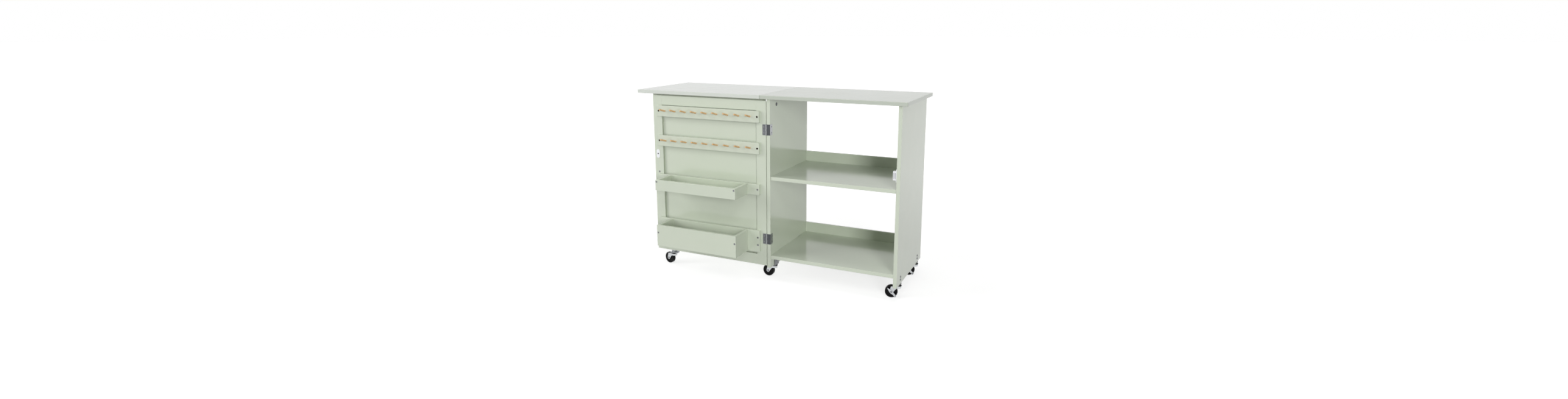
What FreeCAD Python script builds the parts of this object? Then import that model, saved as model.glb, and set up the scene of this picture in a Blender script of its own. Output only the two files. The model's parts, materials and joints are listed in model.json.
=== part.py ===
import FreeCAD, Part
import math
import os

os.makedirs("parts", exist_ok=True)

# All lengths are in millimetres. The cabinet's left outer face is X = 0, its front edge is Y = 0
# and the floor is Z = 0 while the pieces are built. Every piece is moved to the common frame on export.

# Boards of the cabinet and the two halves of the top
board = 15.0
panel_height = 703.0
cabinet_depth = 382.0
front_overhang = 11.0
back_overhang = 9.0
right_overhang = 22.0
left_overhang = 26.0
leaf_length = 591.0
seam_gap = 1.0
middle_shelf_rise = 388.0
bracket_shelf_gap = 2.0
shelf_setback = 3.0
back_rail_height = 45.0
back_rail_thickness = 9.0
corner_radius = 3.0

# Casters, from the wheel upward
wheel_radius = 25.0
wheel_width = 16.0
hub_radius = 8.0
hub_stand = 0.5
rim_depth = 6.5
web_setback = 2.5
tread_shoulder = 2.5
trail_share = 1.08
axle_radius = 3.0
axle_head_radius = 5.0
axle_head_height = 1.6
cheek_gap = 0.5
cheek_thickness = 2.2
cheek_eye_radius = 7.0
cheek_heel = 2.5
cheek_waist_reach = 9.0
cheek_waist_rise = 12.0
crown_thickness = 3.0
crown_back = 10.0
crown_front = 8.0
raceway_radius = 12.5
raceway_height = 3.0
king_pin_radius = 3.5
king_head_radius = 6.0
king_head_height = 2.2
king_foot_radius = 5.5
king_foot_height = 1.2
wheel_top_gap = 1.5
swivel_gap = 0.3
bracket_thickness = 2.5
bracket_width = 40.0
bracket_rise = 36.0
bracket_corner = 5.0
bracket_bend = 2.0
king_head_gap = 0.8
front_caster_setback = 57.0
back_caster_setback = 57.0
door_caster_inset = 80.0
caster_bolt_low = 17.0
caster_bolt_pitch = 12.0
bolt_radius = 2.5
bolt_head_radius = 4.5
bolt_head_height = 2.2
bolt_bite = 10.0
front_left_heading = 178.0
front_right_heading = 195.0
back_right_heading = 202.0
back_left_heading = 190.0
door_heading = 168.0

# Brake levers on the two right-hand casters
lever_gap = 0.4
lever_thickness = 1.6
lever_length = 24.0
lever_width = 8.0
lever_boss_radius = 6.5
lever_tail = 22.0
lever_tail_tip = 2.4
lever_pedal = 7.0
lever_heading = 225.0

# Door frame, panel and the gaps round it
door_side_gap = 2.5
door_free_gap = 6.5
door_bottom_gap = 7.5
leaf_sweep_margin = 1.0
stile_width = 44.0
top_rail_height = 41.0
bottom_rail_height = 46.0
panel_outer_recess = 2.0
panel_thickness = 4.0
panel_tongue = 6.0

# Fittings on the inside of the door: peg rails are set out from its top edge, bins from its bottom edge
fitting_length = 490.0
fitting_end_gap = 26.5
fitting_thickness = 12.0
upper_peg_rail_drop = 65.5
lower_peg_rail_drop = 194.0
peg_rail_height = 47.0
peg_count = 9
peg_end_inset = 40.6
peg_radius = 3.3
peg_reach = 39.0
peg_bite = 9.0
peg_tip = 1.0
peg_tilt = 15.0
bin_length = 382.0
bin_depth = 118.0
bin_floor = 6.0
upper_bin_rise = 301.5
upper_bin_height = 45.0
lower_bin_rise = 58.0
lower_bin_height = 92.0
upper_front_screw_drop = 8.0
lower_front_screw_drop = 33.0
back_board_screw_inset = 8.0
lower_bin_screw_pitch = 32.0

# Wood screws with countersunk heads
screw_head_radius = 3.4
screw_head_depth = 2.0
screw_radius = 1.7
screw_length = 20.0
short_screw_length = 10.0
small_head_radius = 2.6
small_head_depth = 1.5
small_screw_radius = 1.3
cross_depth = 1.0
cross_share = 1.2
cross_width_share = 0.28

# Knob, strike plate and magnetic catch, whose height is taken from the middle shelf
knob_drop = 80.0
knob_inset = 21.0
knob_radius = 13.0
knob_neck_radius = 6.0
knob_base_radius = 8.5
knob_base_height = 3.0
knob_neck_height = 8.0
knob_head_height = 12.0
knob_round = 4.0
catch_height = 53.0
catch_reach = 14.5
catch_depth = 14.0
catch_body_height = 35.0
catch_ear_height = 7.0
catch_ear_thickness = 3.0
catch_setback = 1.0
pole_thickness = 1.8
pole_spacing = 5.5
pole_height = 25.0
pole_depth = 9.0
pole_stand = 0.5
strike_fitting_gap = 0.5
strike_width = 17.0
strike_height = 38.0
strike_thickness = 1.5

# Cam locks in the side panels
cam_radius = 7.5
cam_depth = 11.0
cam_drop = 26.0
cam_setback = 62.0
cam_slot_width = 2.0
cam_slot_depth = 2.0

# Door hinges
hinge_height = 44.0
upper_hinge_drop = 117.0
lower_hinge_rise = 116.0
hinge_plate = 1.0
hinge_door_reach = 17.0
hinge_panel_reach = 21.0
knuckle_count = 5
knuckle_radius = 2.5
hinge_pin_radius = 1.1
hinge_face_gap = 0.5
hinge_screw_pitch = 24.0
hinge_screw_inset = 6.5

# Leaf hinges under the seam
leaf_hinge_length = 60.0
leaf_hinge_setback = 95.0
leaf_hinge_plate = 1.5
leaf_hinge_margin = 4.5
leaf_knuckle_radius = 3.0
leaf_pin_radius = 1.5
leaf_knuckle_drop = 0.4
leaf_screw_pitch = 40.0
leaf_screw_inset = 7.0

# Batten under the leaf, just behind the open door
batten_width = 40.0
batten_door_gap = 2.0
batten_seam_inset = 3.0
batten_run_past = 10.5

# Fits and the overrun of every cut
running_clearance = 0.05
knuckle_end_gap = 0.3
knuckle_plate_gap = 0.4
recess_clearance = 0.3
match_tolerance = 0.01
overrun = 5.0

origin = FreeCAD.Vector(0, 0, 0)
right = FreeCAD.Vector(1, 0, 0)
left = FreeCAD.Vector(-1, 0, 0)
backward = FreeCAD.Vector(0, 1, 0)
forward = FreeCAD.Vector(0, -1, 0)
up = FreeCAD.Vector(0, 0, 1)
down = FreeCAD.Vector(0, 0, -1)
quarter_turn = 90.0
half_turn = 180.0

# Levels and planes that follow from the sizes
wheel_top = wheel_radius * 2
bracket_bottom = wheel_top + wheel_top_gap
bracket_top = bracket_bottom + bracket_thickness
panel_bottom = bracket_top + king_head_height + king_head_gap
top_under = panel_bottom + panel_height
top_face = top_under + board
bottom_shelf_height = panel_bottom + bracket_rise + bracket_shelf_gap + board
middle_shelf_height = panel_bottom + middle_shelf_rise
catch_level = middle_shelf_height + catch_height
door_width = fitting_length + fitting_end_gap * 2
cabinet_width = door_side_gap + door_width + door_free_gap
left_inner = board
right_inner = cabinet_width - board
seam_centre = -left_overhang - seam_gap / 2
leaf_right = -left_overhang - seam_gap
leaf_left = leaf_right - leaf_length
top_right = cabinet_width + right_overhang
top_front = -front_overhang
top_back = cabinet_depth + back_overhang
pin_x = -door_side_gap / 2
pin_y = -hinge_plate - hinge_face_gap / 2
door_right = -door_side_gap
door_left = door_right - door_width
door_centre = (door_left + door_right) / 2
door_bottom = panel_bottom + door_bottom_gap
door_top = top_under - front_overhang / 2 - leaf_sweep_margin
door_back = board
panel_recess = door_back - panel_outer_recess - panel_thickness
upper_peg_rail_centre = door_top - upper_peg_rail_drop
lower_peg_rail_centre = door_top - lower_peg_rail_drop
upper_bin_base = door_bottom + upper_bin_rise
lower_bin_base = door_bottom + lower_bin_rise
upper_hinge_centre = door_top - upper_hinge_drop
lower_hinge_centre = door_bottom + lower_hinge_rise
knob_height = catch_level - knob_drop
strike_inset = fitting_end_gap - strike_fitting_gap - strike_width / 2
peg_pitch = (fitting_length - peg_end_inset * 2) / (peg_count - 1)
leaf_hinge_reach = left_overhang + seam_gap / 2 - leaf_hinge_margin
fitting_left = door_centre - fitting_length / 2
fitting_right = door_centre + fitting_length / 2
bin_left = door_centre - bin_length / 2
bin_right = door_centre + bin_length / 2
trail = wheel_radius * trail_share

pieces = {}


def block(x_low, x_high, y_low, y_high, z_low, z_high):
    """Return a box between two corners."""
    corner = FreeCAD.Vector(x_low, y_low, z_low)
    return Part.makeBox(x_high - x_low, y_high - y_low, z_high - z_low, corner)


def slab(points, direction):
    """Return the solid swept by a flat outline along a direction."""
    outline = Part.makePolygon(points + points[:1])
    return Part.Face(outline).extrude(direction)


def joined(shapes):
    """Return one solid made of shapes that touch."""
    whole = shapes[0]
    for shape in shapes[1:]:
        whole = whole.fuse(shape)
    return whole.removeSplitter()


def matches(value, target):
    """Tell whether two lengths agree."""
    return abs(value - target) < match_tolerance


def eased_upright(shape, radius):
    """Round the upright edges of a shape."""
    upright = []
    for edge in shape.Edges:
        ends = edge.Vertexes
        if len(ends) != 2:
            continue
        span = ends[1].Point.sub(ends[0].Point)
        if abs(span.z) == max(abs(span.x), abs(span.y), abs(span.z)):
            upright.append(edge)
    return shape.makeFillet(radius, upright)


def aimed(shape, spot, direction):
    """Turn a shape that points down so that it points along a direction, and move it to a spot."""
    moved = shape.copy()
    moved.Placement = FreeCAD.Placement(spot, FreeCAD.Rotation(down, direction))
    return moved


def turned(shape, heading, spot):
    """Turn a shape about the vertical axis and move it to a spot."""
    moved = shape.copy()
    moved.rotate(origin, up, heading)
    moved.translate(spot)
    return moved


def screw_blank(head_radius, head_depth, shank_radius, length):
    """Return a countersunk screw without its cross, head at the origin and pointing down."""
    head = Part.makeCone(head_radius, shank_radius, head_depth, origin, down)
    shank = Part.makeCylinder(shank_radius, length, origin, down)
    return head.fuse(shank).removeSplitter()


def with_cross(screw, shank_radius):
    """Cut a cross into the head of a screw that points down."""
    arm = shank_radius * cross_share
    half_width = shank_radius * cross_width_share
    one = block(-arm, arm, -half_width, half_width, -cross_depth, overrun)
    other = block(-half_width, half_width, -arm, arm, -cross_depth, overrun)
    return screw.cut(one).cut(other)


def drive(group, screw, crossed, spot, direction, names):
    """Set a screw into the named pieces and add it to a group."""
    hole = aimed(screw, spot, direction)
    for name in names:
        pieces[name] = pieces[name].cut(hole)
    group.append(aimed(crossed, spot, direction))


def hinge_z(index, base):
    """Return the lower and upper level of one knuckle of a door hinge."""
    pitch = hinge_height / knuckle_count
    return base + index * pitch + knuckle_end_gap / 2, base + (index + 1) * pitch - knuckle_end_gap / 2


long_screw = screw_blank(screw_head_radius, screw_head_depth, screw_radius, screw_length)
long_crossed = with_cross(long_screw, screw_radius)
short_screw = screw_blank(small_head_radius, small_head_depth, small_screw_radius, short_screw_length)
short_crossed = with_cross(short_screw, small_screw_radius)
cabinet_screws = []
door_screws = []
door_small_screws = []
leaf_screws = []

# Cabinet boards
pieces["left_side_panel"] = block(0, left_inner, 0, cabinet_depth, panel_bottom, top_under)
pieces["right_side_panel"] = block(right_inner, cabinet_width, 0, cabinet_depth, panel_bottom, top_under)
main_top = block(-left_overhang, top_right, top_front, top_back, top_under, top_face)
pieces["main_top"] = eased_upright(main_top, corner_radius)
drop_leaf = block(leaf_left, leaf_right, top_front, top_back, top_under, top_face)
pieces["drop_leaf"] = eased_upright(drop_leaf, corner_radius)
batten_left = door_left - batten_run_past
batten_right = leaf_right - batten_seam_inset
batten_front = door_back + batten_door_gap
batten_back = batten_front + batten_width
leaf_batten = block(batten_left, batten_right, batten_front, batten_back, top_under - board, top_under)
pieces["leaf_batten"] = leaf_batten
shelves = {"middle": middle_shelf_height, "bottom": bottom_shelf_height}
for shelf_name, level in shelves.items():
    rail_front = cabinet_depth - back_rail_thickness
    rail_top = level + back_rail_height
    shelf = block(left_inner, right_inner, shelf_setback, rail_front, level - board, level)
    pieces[shelf_name + "_shelf"] = shelf
    back_rail = block(left_inner, right_inner, rail_front, cabinet_depth, level - board, rail_top)
    pieces[shelf_name + "_back_rail"] = back_rail

# Cam locks that draw the side panels up to the top
cam_locks = []
cam_blank = Part.makeCylinder(cam_radius, cam_depth, origin, down)
cam_slot = block(-cam_radius, cam_radius, -cam_slot_width / 2, cam_slot_width / 2, -cam_slot_depth, overrun)
cam_crossed = cam_blank.cut(cam_slot)
for cam_y in (cam_setback, cabinet_depth - cam_setback):
    cam_z = top_under - cam_drop
    left_spot = FreeCAD.Vector(left_inner, cam_y, cam_z)
    right_spot = FreeCAD.Vector(right_inner, cam_y, cam_z)
    drive(cam_locks, cam_blank, cam_crossed, left_spot, left, ["left_side_panel"])
    drive(cam_locks, cam_blank, cam_crossed, right_spot, right, ["right_side_panel"])
pieces["cam_locks"] = Part.makeCompound(cam_locks)

# Magnetic catch on the right-hand panel
catch_left = right_inner - catch_reach
catch_back = catch_setback + catch_depth
catch_low = catch_level - catch_body_height / 2
catch_high = catch_level + catch_body_height / 2
catch_body = block(catch_left, right_inner, catch_setback, catch_back, catch_low, catch_high)
ear_left = right_inner - catch_ear_thickness
ear_low = catch_low - catch_ear_height
ear_high = catch_high + catch_ear_height
catch_ears = block(ear_left, right_inner, catch_setback, catch_back, ear_low, ear_high)
catch_whole = joined([catch_body, catch_ears])
poles = []
for side in (-1, 1):
    pole_x = catch_left + catch_reach / 2 + side * pole_spacing / 2
    pole_left = pole_x - pole_thickness / 2
    pole_right = pole_x + pole_thickness / 2
    pole_front = catch_setback - pole_stand
    pole_back = catch_setback + pole_depth
    pole_low = catch_level - pole_height / 2
    pole_high = catch_level + pole_height / 2
    pole = block(pole_left, pole_right, pole_front, pole_back, pole_low, pole_high)
    catch_whole = catch_whole.cut(pole)
    poles.append(pole)
pieces["magnetic_catch_body"] = catch_whole
pieces["magnetic_catch_poles"] = Part.makeCompound(poles)
for ear_z in (catch_low - catch_ear_height / 2, catch_high + catch_ear_height / 2):
    ear_spot = FreeCAD.Vector(ear_left, catch_setback + catch_depth / 2, ear_z)
    catch_names = ["magnetic_catch_body", "right_side_panel"]
    drive(cabinet_screws, short_screw, short_crossed, ear_spot, right, catch_names)

# Door frame and its recessed panel
rail_left = door_left + stile_width
rail_right = door_right - stile_width
frame_top = door_top - top_rail_height
frame_bottom = door_bottom + bottom_rail_height
pieces["door_free_stile"] = block(door_left, rail_left, 0, door_back, door_bottom, door_top)
pieces["door_hinge_stile"] = block(rail_right, door_right, 0, door_back, door_bottom, door_top)
pieces["door_top_rail"] = block(rail_left, rail_right, 0, door_back, frame_top, door_top)
pieces["door_bottom_rail"] = block(rail_left, rail_right, 0, door_back, door_bottom, frame_bottom)
panel_left = rail_left - panel_tongue
panel_right = rail_right + panel_tongue
panel_back = panel_recess + panel_thickness
panel_low = frame_bottom - panel_tongue
panel_high = frame_top + panel_tongue
door_panel = block(panel_left, panel_right, panel_recess, panel_back, panel_low, panel_high)
frame_members = ["door_free_stile", "door_hinge_stile", "door_top_rail", "door_bottom_rail"]
for member in frame_members:
    pieces[member] = pieces[member].cut(door_panel)
pieces["door_panel"] = door_panel

# The door's top edge falls away to the back so that it clears the front of the leaf as both move
bevel_start = FreeCAD.Vector(door_left - overrun, 0, door_top)
bevel_points = [
    bevel_start,
    bevel_start + FreeCAD.Vector(0, door_back * 2, 0),
    bevel_start + FreeCAD.Vector(0, door_back * 2, -door_back),
]
bevel = slab(bevel_points, right * (door_width + overrun * 2))
for member in ("door_free_stile", "door_hinge_stile", "door_top_rail"):
    pieces[member] = pieces[member].cut(bevel)

# Peg rails and pegs
fitting_front = -fitting_thickness
pegs = []
tilt = math.radians(peg_tilt)
peg_way = FreeCAD.Vector(0, -math.cos(tilt), math.sin(tilt))
peg_rails = {"upper_peg_rail": upper_peg_rail_centre, "lower_peg_rail": lower_peg_rail_centre}
for rail_name, rail_centre in peg_rails.items():
    rail_low = rail_centre - peg_rail_height / 2
    rail_high = rail_centre + peg_rail_height / 2
    peg_rail = block(fitting_left, fitting_right, fitting_front, 0, rail_low, rail_high)
    first_peg = door_centre - peg_pitch * (peg_count - 1) / 2
    for index in range(peg_count):
        face_spot = FreeCAD.Vector(first_peg + index * peg_pitch, fitting_front, rail_centre)
        peg_start = face_spot - peg_way * peg_bite
        peg = Part.makeCylinder(peg_radius, peg_bite + peg_reach, peg_start, peg_way)
        peg_rail = peg_rail.cut(peg)
        tip_spot = face_spot + peg_way * peg_reach
        rims = [edge for edge in peg.Edges if len(edge.Vertexes) == 1]
        tip_edges = [edge for edge in rims if edge.BoundBox.YMin < tip_spot.y]
        pegs.append(peg.makeFillet(peg_tip, tip_edges))
    pieces[rail_name] = peg_rail
pieces["pegs"] = Part.makeCompound(pegs)

# Bins
bin_front = -bin_depth
board_back = bin_front + fitting_thickness
bins = {
    "upper_bin": (upper_bin_base, upper_bin_height),
    "lower_bin": (lower_bin_base, lower_bin_height),
}
for bin_name, (base, height) in bins.items():
    rim = base + height
    left_end_right = bin_left + fitting_thickness
    right_end_left = bin_right - fitting_thickness
    pieces[bin_name + "_back"] = block(fitting_left, fitting_right, fitting_front, 0, base, rim)
    pieces[bin_name + "_front"] = block(bin_left, bin_right, bin_front, board_back, base, rim)
    left_end = block(bin_left, left_end_right, board_back, fitting_front, base, rim)
    right_end = block(right_end_left, bin_right, board_back, fitting_front, base, rim)
    pieces[bin_name + "_left_end"] = left_end
    pieces[bin_name + "_right_end"] = right_end
    floor_top = base + bin_floor
    bin_base = block(left_end_right, right_end_left, board_back, fitting_front, base, floor_top)
    pieces[bin_name + "_bottom"] = bin_base

# Screws through the fittings
screw_left = fitting_left + back_board_screw_inset
screw_right = fitting_right - back_board_screw_inset
upper_bin_middle = upper_bin_base + upper_bin_height / 2
lower_bin_middle = lower_bin_base + lower_bin_height / 2
board_screws = [
    ("upper_peg_rail", upper_peg_rail_centre),
    ("lower_peg_rail", lower_peg_rail_centre),
    ("upper_bin_back", upper_bin_middle),
    ("lower_bin_back", lower_bin_middle - lower_bin_screw_pitch / 2),
    ("lower_bin_back", lower_bin_middle + lower_bin_screw_pitch / 2),
]
for board_name, screw_z in board_screws:
    left_spot = FreeCAD.Vector(screw_left, fitting_front, screw_z)
    right_spot = FreeCAD.Vector(screw_right, fitting_front, screw_z)
    drive(door_screws, long_screw, long_crossed, left_spot, backward, [board_name, "door_free_stile"])
    drive(door_screws, long_screw, long_crossed, right_spot, backward, [board_name, "door_hinge_stile"])
front_screws = [
    ("upper_bin", upper_bin_base + upper_bin_height - upper_front_screw_drop),
    ("lower_bin", lower_bin_base + lower_bin_height - lower_front_screw_drop),
]
for bin_name, screw_z in front_screws:
    left_spot = FreeCAD.Vector(bin_left + fitting_thickness / 2, bin_front, screw_z)
    right_spot = FreeCAD.Vector(bin_right - fitting_thickness / 2, bin_front, screw_z)
    left_names = [bin_name + "_front", bin_name + "_left_end"]
    right_names = [bin_name + "_front", bin_name + "_right_end"]
    drive(door_screws, long_screw, long_crossed, left_spot, backward, left_names)
    drive(door_screws, long_screw, long_crossed, right_spot, backward, right_names)

# Strike plate with rounded ends
strike_x = door_left + strike_inset
strike_round = strike_width / 2
strike_left = strike_x - strike_round
strike_right = strike_x + strike_round
strike_straight = strike_height / 2 - strike_round
strike_low = catch_level - strike_straight
strike_high = catch_level + strike_straight
strike_block = block(strike_left, strike_right, -strike_thickness, 0, strike_low, strike_high)
low_centre = FreeCAD.Vector(strike_x, -strike_thickness, strike_low)
high_centre = FreeCAD.Vector(strike_x, -strike_thickness, strike_high)
low_round = Part.makeCylinder(strike_round, strike_thickness, low_centre, backward)
high_round = Part.makeCylinder(strike_round, strike_thickness, high_centre, backward)
pieces["strike_plate"] = joined([strike_block, low_round, high_round])
strike_spot = FreeCAD.Vector(strike_x, -strike_thickness, catch_level)
strike_names = ["strike_plate", "door_free_stile"]
drive(door_small_screws, short_screw, short_crossed, strike_spot, backward, strike_names)

# Knob on the outer face and the screw that holds it from the inside
knob_x = door_left + knob_inset
knob_spot = FreeCAD.Vector(knob_x, door_back, knob_height)
neck_spot = knob_spot + backward * knob_base_height
head_spot = neck_spot + backward * knob_neck_height
knob_base = Part.makeCylinder(knob_base_radius, knob_base_height, knob_spot, backward)
knob_neck = Part.makeCylinder(knob_neck_radius, knob_neck_height, neck_spot, backward)
knob_head = Part.makeCylinder(knob_radius, knob_head_height, head_spot, backward)
knob_head = knob_head.makeFillet(knob_round, [edge for edge in knob_head.Edges if len(edge.Vertexes) == 1])
pieces["knob"] = joined([knob_base, knob_neck, knob_head])
knob_screw_spot = FreeCAD.Vector(knob_x, 0, knob_height)
drive(door_screws, long_screw, long_crossed, knob_screw_spot, backward, ["door_free_stile", "knob"])
pieces["door_screws"] = Part.makeCompound(door_screws)

# Door hinges: the fixed leaf wraps the front edge of the left panel
door_pins = []
fixed_leaves = []
moving_leaves = []
plate_start = knuckle_radius + knuckle_plate_gap
hinge_centres = [upper_hinge_centre, lower_hinge_centre]
for centre in hinge_centres:
    base = centre - hinge_height / 2
    crest = centre + hinge_height / 2
    pin_foot = FreeCAD.Vector(pin_x, pin_y, base)
    pin = Part.makeCylinder(hinge_pin_radius, hinge_height, pin_foot, up)
    recess_foot = FreeCAD.Vector(pin_x, pin_y, base - recess_clearance)
    recess_height = hinge_height + recess_clearance * 2
    recess = Part.makeCylinder(knuckle_radius + recess_clearance, recess_height, recess_foot, up)
    pieces["left_side_panel"] = pieces["left_side_panel"].cut(recess)
    pieces["door_hinge_stile"] = pieces["door_hinge_stile"].cut(recess)
    plate_front = left_inner + hinge_plate
    fixed = [
        block(pin_x + plate_start, plate_front, -hinge_plate, 0, base, crest),
        block(left_inner, plate_front, -hinge_plate, hinge_panel_reach, base, crest),
    ]
    moving = [block(pin_x - hinge_door_reach, pin_x - plate_start, -hinge_plate, 0, base, crest)]
    for index in range(knuckle_count):
        low, high = hinge_z(index, base)
        knuckle_foot = FreeCAD.Vector(pin_x, pin_y, low)
        knuckle = Part.makeCylinder(knuckle_radius, high - low, knuckle_foot, up)
        if index % 2 == 0:
            fixed.append(joined([knuckle, block(pin_x, pin_x + plate_start, -hinge_plate, 0, low, high)]))
        else:
            moving.append(joined([knuckle, block(pin_x - plate_start, pin_x, -hinge_plate, 0, low, high)]))
    bore_foot = FreeCAD.Vector(pin_x, pin_y, base - overrun)
    bore = Part.makeCylinder(hinge_pin_radius + running_clearance, hinge_height + overrun * 2, bore_foot, up)
    fixed_leaves.append(joined(fixed).cut(pin))
    moving_leaves.append(joined(moving).cut(bore))
    door_pins.append(pin)
pieces["door_hinge_fixed_leaves"] = Part.makeCompound(fixed_leaves)
pieces["door_hinge_moving_leaves"] = Part.makeCompound(moving_leaves)
pieces["door_hinge_pins"] = Part.makeCompound(door_pins)
for centre in hinge_centres:
    for side in (-1, 1):
        screw_z = centre + side * hinge_screw_pitch / 2
        fixed_spot = FreeCAD.Vector(left_inner + hinge_plate, hinge_panel_reach - hinge_screw_inset, screw_z)
        moving_spot = FreeCAD.Vector(pin_x - hinge_door_reach + hinge_screw_inset, -hinge_plate, screw_z)
        fixed_names = ["door_hinge_fixed_leaves", "left_side_panel"]
        moving_names = ["door_hinge_moving_leaves", "door_hinge_stile"]
        drive(cabinet_screws, short_screw, short_crossed, fixed_spot, left, fixed_names)
        drive(door_small_screws, short_screw, short_crossed, moving_spot, backward, moving_names)
pieces["door_small_screws"] = Part.makeCompound(door_small_screws)

# Leaf hinges under the seam
leaf_pin_z = top_under - leaf_knuckle_drop - leaf_knuckle_radius
leaf_plate_start = leaf_knuckle_radius + knuckle_plate_gap
leaf_plate_bottom = top_under - leaf_hinge_plate
leaf_pins = []
leaf_fixed = []
leaf_moving = []
leaf_hinge_centres = [leaf_hinge_setback, cabinet_depth - leaf_hinge_setback]
for centre in leaf_hinge_centres:
    near = centre - leaf_hinge_length / 2
    far = centre + leaf_hinge_length / 2
    fixed_left = seam_centre + leaf_plate_start
    fixed_right = seam_centre + leaf_hinge_reach
    moving_left = seam_centre - leaf_hinge_reach
    moving_right = seam_centre - leaf_plate_start
    fixed = [block(fixed_left, fixed_right, near, far, leaf_plate_bottom, top_under)]
    moving = [block(moving_left, moving_right, near, far, leaf_plate_bottom, top_under)]
    pitch = leaf_hinge_length / knuckle_count
    for index in range(knuckle_count):
        low = near + index * pitch + knuckle_end_gap / 2
        high = near + (index + 1) * pitch - knuckle_end_gap / 2
        knuckle_foot = FreeCAD.Vector(seam_centre, low, leaf_pin_z)
        knuckle = Part.makeCylinder(leaf_knuckle_radius, high - low, knuckle_foot, backward)
        if index % 2 == 0:
            tab = block(seam_centre + seam_gap, fixed_left, low, high, leaf_plate_bottom, top_under)
            fixed.append(joined([knuckle, tab]))
        else:
            tab = block(moving_right, seam_centre - seam_gap, low, high, leaf_plate_bottom, top_under)
            moving.append(joined([knuckle, tab]))
    pin_foot = FreeCAD.Vector(seam_centre, near, leaf_pin_z)
    bore_foot = FreeCAD.Vector(seam_centre, near - overrun, leaf_pin_z)
    pin = Part.makeCylinder(leaf_pin_radius, leaf_hinge_length, pin_foot, backward)
    bore_length = leaf_hinge_length + overrun * 2
    bore = Part.makeCylinder(leaf_pin_radius + running_clearance, bore_length, bore_foot, backward)
    leaf_pins.append(pin)
    leaf_fixed.append(joined(fixed).cut(pin))
    leaf_moving.append(joined(moving).cut(bore))
pieces["leaf_hinge_fixed_leaves"] = Part.makeCompound(leaf_fixed)
pieces["leaf_hinge_moving_leaves"] = Part.makeCompound(leaf_moving)
pieces["leaf_hinge_pins"] = Part.makeCompound(leaf_pins)
for centre in leaf_hinge_centres:
    for side in (-1, 1):
        screw_y = centre + side * leaf_screw_pitch / 2
        screw_reach = leaf_hinge_reach - leaf_screw_inset
        fixed_spot = FreeCAD.Vector(seam_centre + screw_reach, screw_y, leaf_plate_bottom)
        moving_spot = FreeCAD.Vector(seam_centre - screw_reach, screw_y, leaf_plate_bottom)
        fixed_names = ["leaf_hinge_fixed_leaves", "main_top"]
        moving_names = ["leaf_hinge_moving_leaves", "drop_leaf"]
        drive(cabinet_screws, short_screw, short_crossed, fixed_spot, up, fixed_names)
        drive(leaf_screws, short_screw, short_crossed, moving_spot, up, moving_names)
pieces["cabinet_screws"] = Part.makeCompound(cabinet_screws)
pieces["leaf_screws"] = Part.makeCompound(leaf_screws)

# One caster bracket: its plate stands on the X = 0 plane and its flange runs under the board
half_bracket = bracket_width / 2
plate_top = panel_bottom + bracket_rise
standing = block(0, bracket_thickness, -half_bracket, half_bracket, bracket_bottom, plate_top)
flange = block(-board, bracket_thickness, -half_bracket, half_bracket, bracket_bottom, bracket_top)
bracket = joined([standing, flange])
bend_edges = []
for edge in bracket.Edges:
    middle = edge.CenterOfMass
    if matches(middle.x, bracket_thickness) and matches(middle.z, bracket_bottom):
        bend_edges.append(edge)
bracket = bracket.makeFillet(bracket_bend, bend_edges)
plate_corners = []
for edge in bracket.Edges:
    middle = edge.CenterOfMass
    if matches(middle.z, plate_top) and matches(abs(middle.y), half_bracket):
        plate_corners.append(edge)
bracket = bracket.makeFillet(bracket_corner, plate_corners)
swivel_spot = FreeCAD.Vector(-board / 2, 0, 0)
crown_stack = swivel_gap + raceway_height + crown_thickness
king_shank_foot = bracket_bottom - crown_stack - swivel_gap - king_foot_height
king_foot_spot = FreeCAD.Vector(-board / 2, 0, king_shank_foot)
king_head_spot = FreeCAD.Vector(-board / 2, 0, bracket_top)
king_shank = Part.makeCylinder(king_pin_radius, bracket_top - king_shank_foot, king_foot_spot, up)
king_foot = Part.makeCylinder(king_foot_radius, king_foot_height, king_foot_spot, up)
king_head = Part.makeCylinder(king_head_radius, king_head_height, king_head_spot, up)
bracket = bracket.cut(king_shank)
king_pin = joined([king_shank, king_foot, king_head])

# One caster fork: it trails along X from the swivel axis, with its riveted axle
crown_top = bracket_bottom - swivel_gap
crown_middle = crown_top - raceway_height
crown_bottom = crown_middle - crown_thickness
cheek_inner = wheel_width / 2 + hub_stand + cheek_gap
cheek_outer = cheek_inner + cheek_thickness
axle_spot = FreeCAD.Vector(trail, 0, wheel_radius)
raceway = Part.makeCylinder(raceway_radius, raceway_height, FreeCAD.Vector(0, 0, crown_middle), up)
crown = block(-crown_back, crown_front, -cheek_outer, cheek_outer, crown_bottom, crown_middle)
cheek_points = [
    FreeCAD.Vector(-crown_back, cheek_inner, crown_middle),
    FreeCAD.Vector(trail + cheek_heel, cheek_inner, crown_middle),
    FreeCAD.Vector(trail + cheek_eye_radius, cheek_inner, wheel_radius),
    FreeCAD.Vector(trail - cheek_eye_radius, cheek_inner, wheel_radius - cheek_eye_radius / 2),
    FreeCAD.Vector(cheek_waist_reach, cheek_inner, wheel_radius + cheek_waist_rise),
    FreeCAD.Vector(-crown_back, cheek_inner, crown_bottom),
]
cheek_plate = slab(cheek_points, backward * cheek_thickness)
eye = Part.makeCylinder(cheek_eye_radius, cheek_thickness, axle_spot + backward * cheek_inner, backward)
cheek = joined([cheek_plate, eye])
other_cheek = cheek.mirror(origin, backward)
axle = Part.makeCylinder(axle_radius, cheek_outer * 2, axle_spot - backward * cheek_outer, backward)
near_head = Part.makeCylinder(axle_head_radius, axle_head_height, axle_spot - backward * cheek_outer, forward)
far_head = Part.makeCylinder(axle_head_radius, axle_head_height, axle_spot + backward * cheek_outer, backward)
king_bore_foot = FreeCAD.Vector(0, 0, crown_bottom - overrun)
king_bore_height = crown_top - crown_bottom + overrun * 2
king_bore = Part.makeCylinder(king_pin_radius + running_clearance, king_bore_height, king_bore_foot, up)
fork_body = joined([raceway, crown, cheek, other_cheek, axle]).cut(king_bore)
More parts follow.
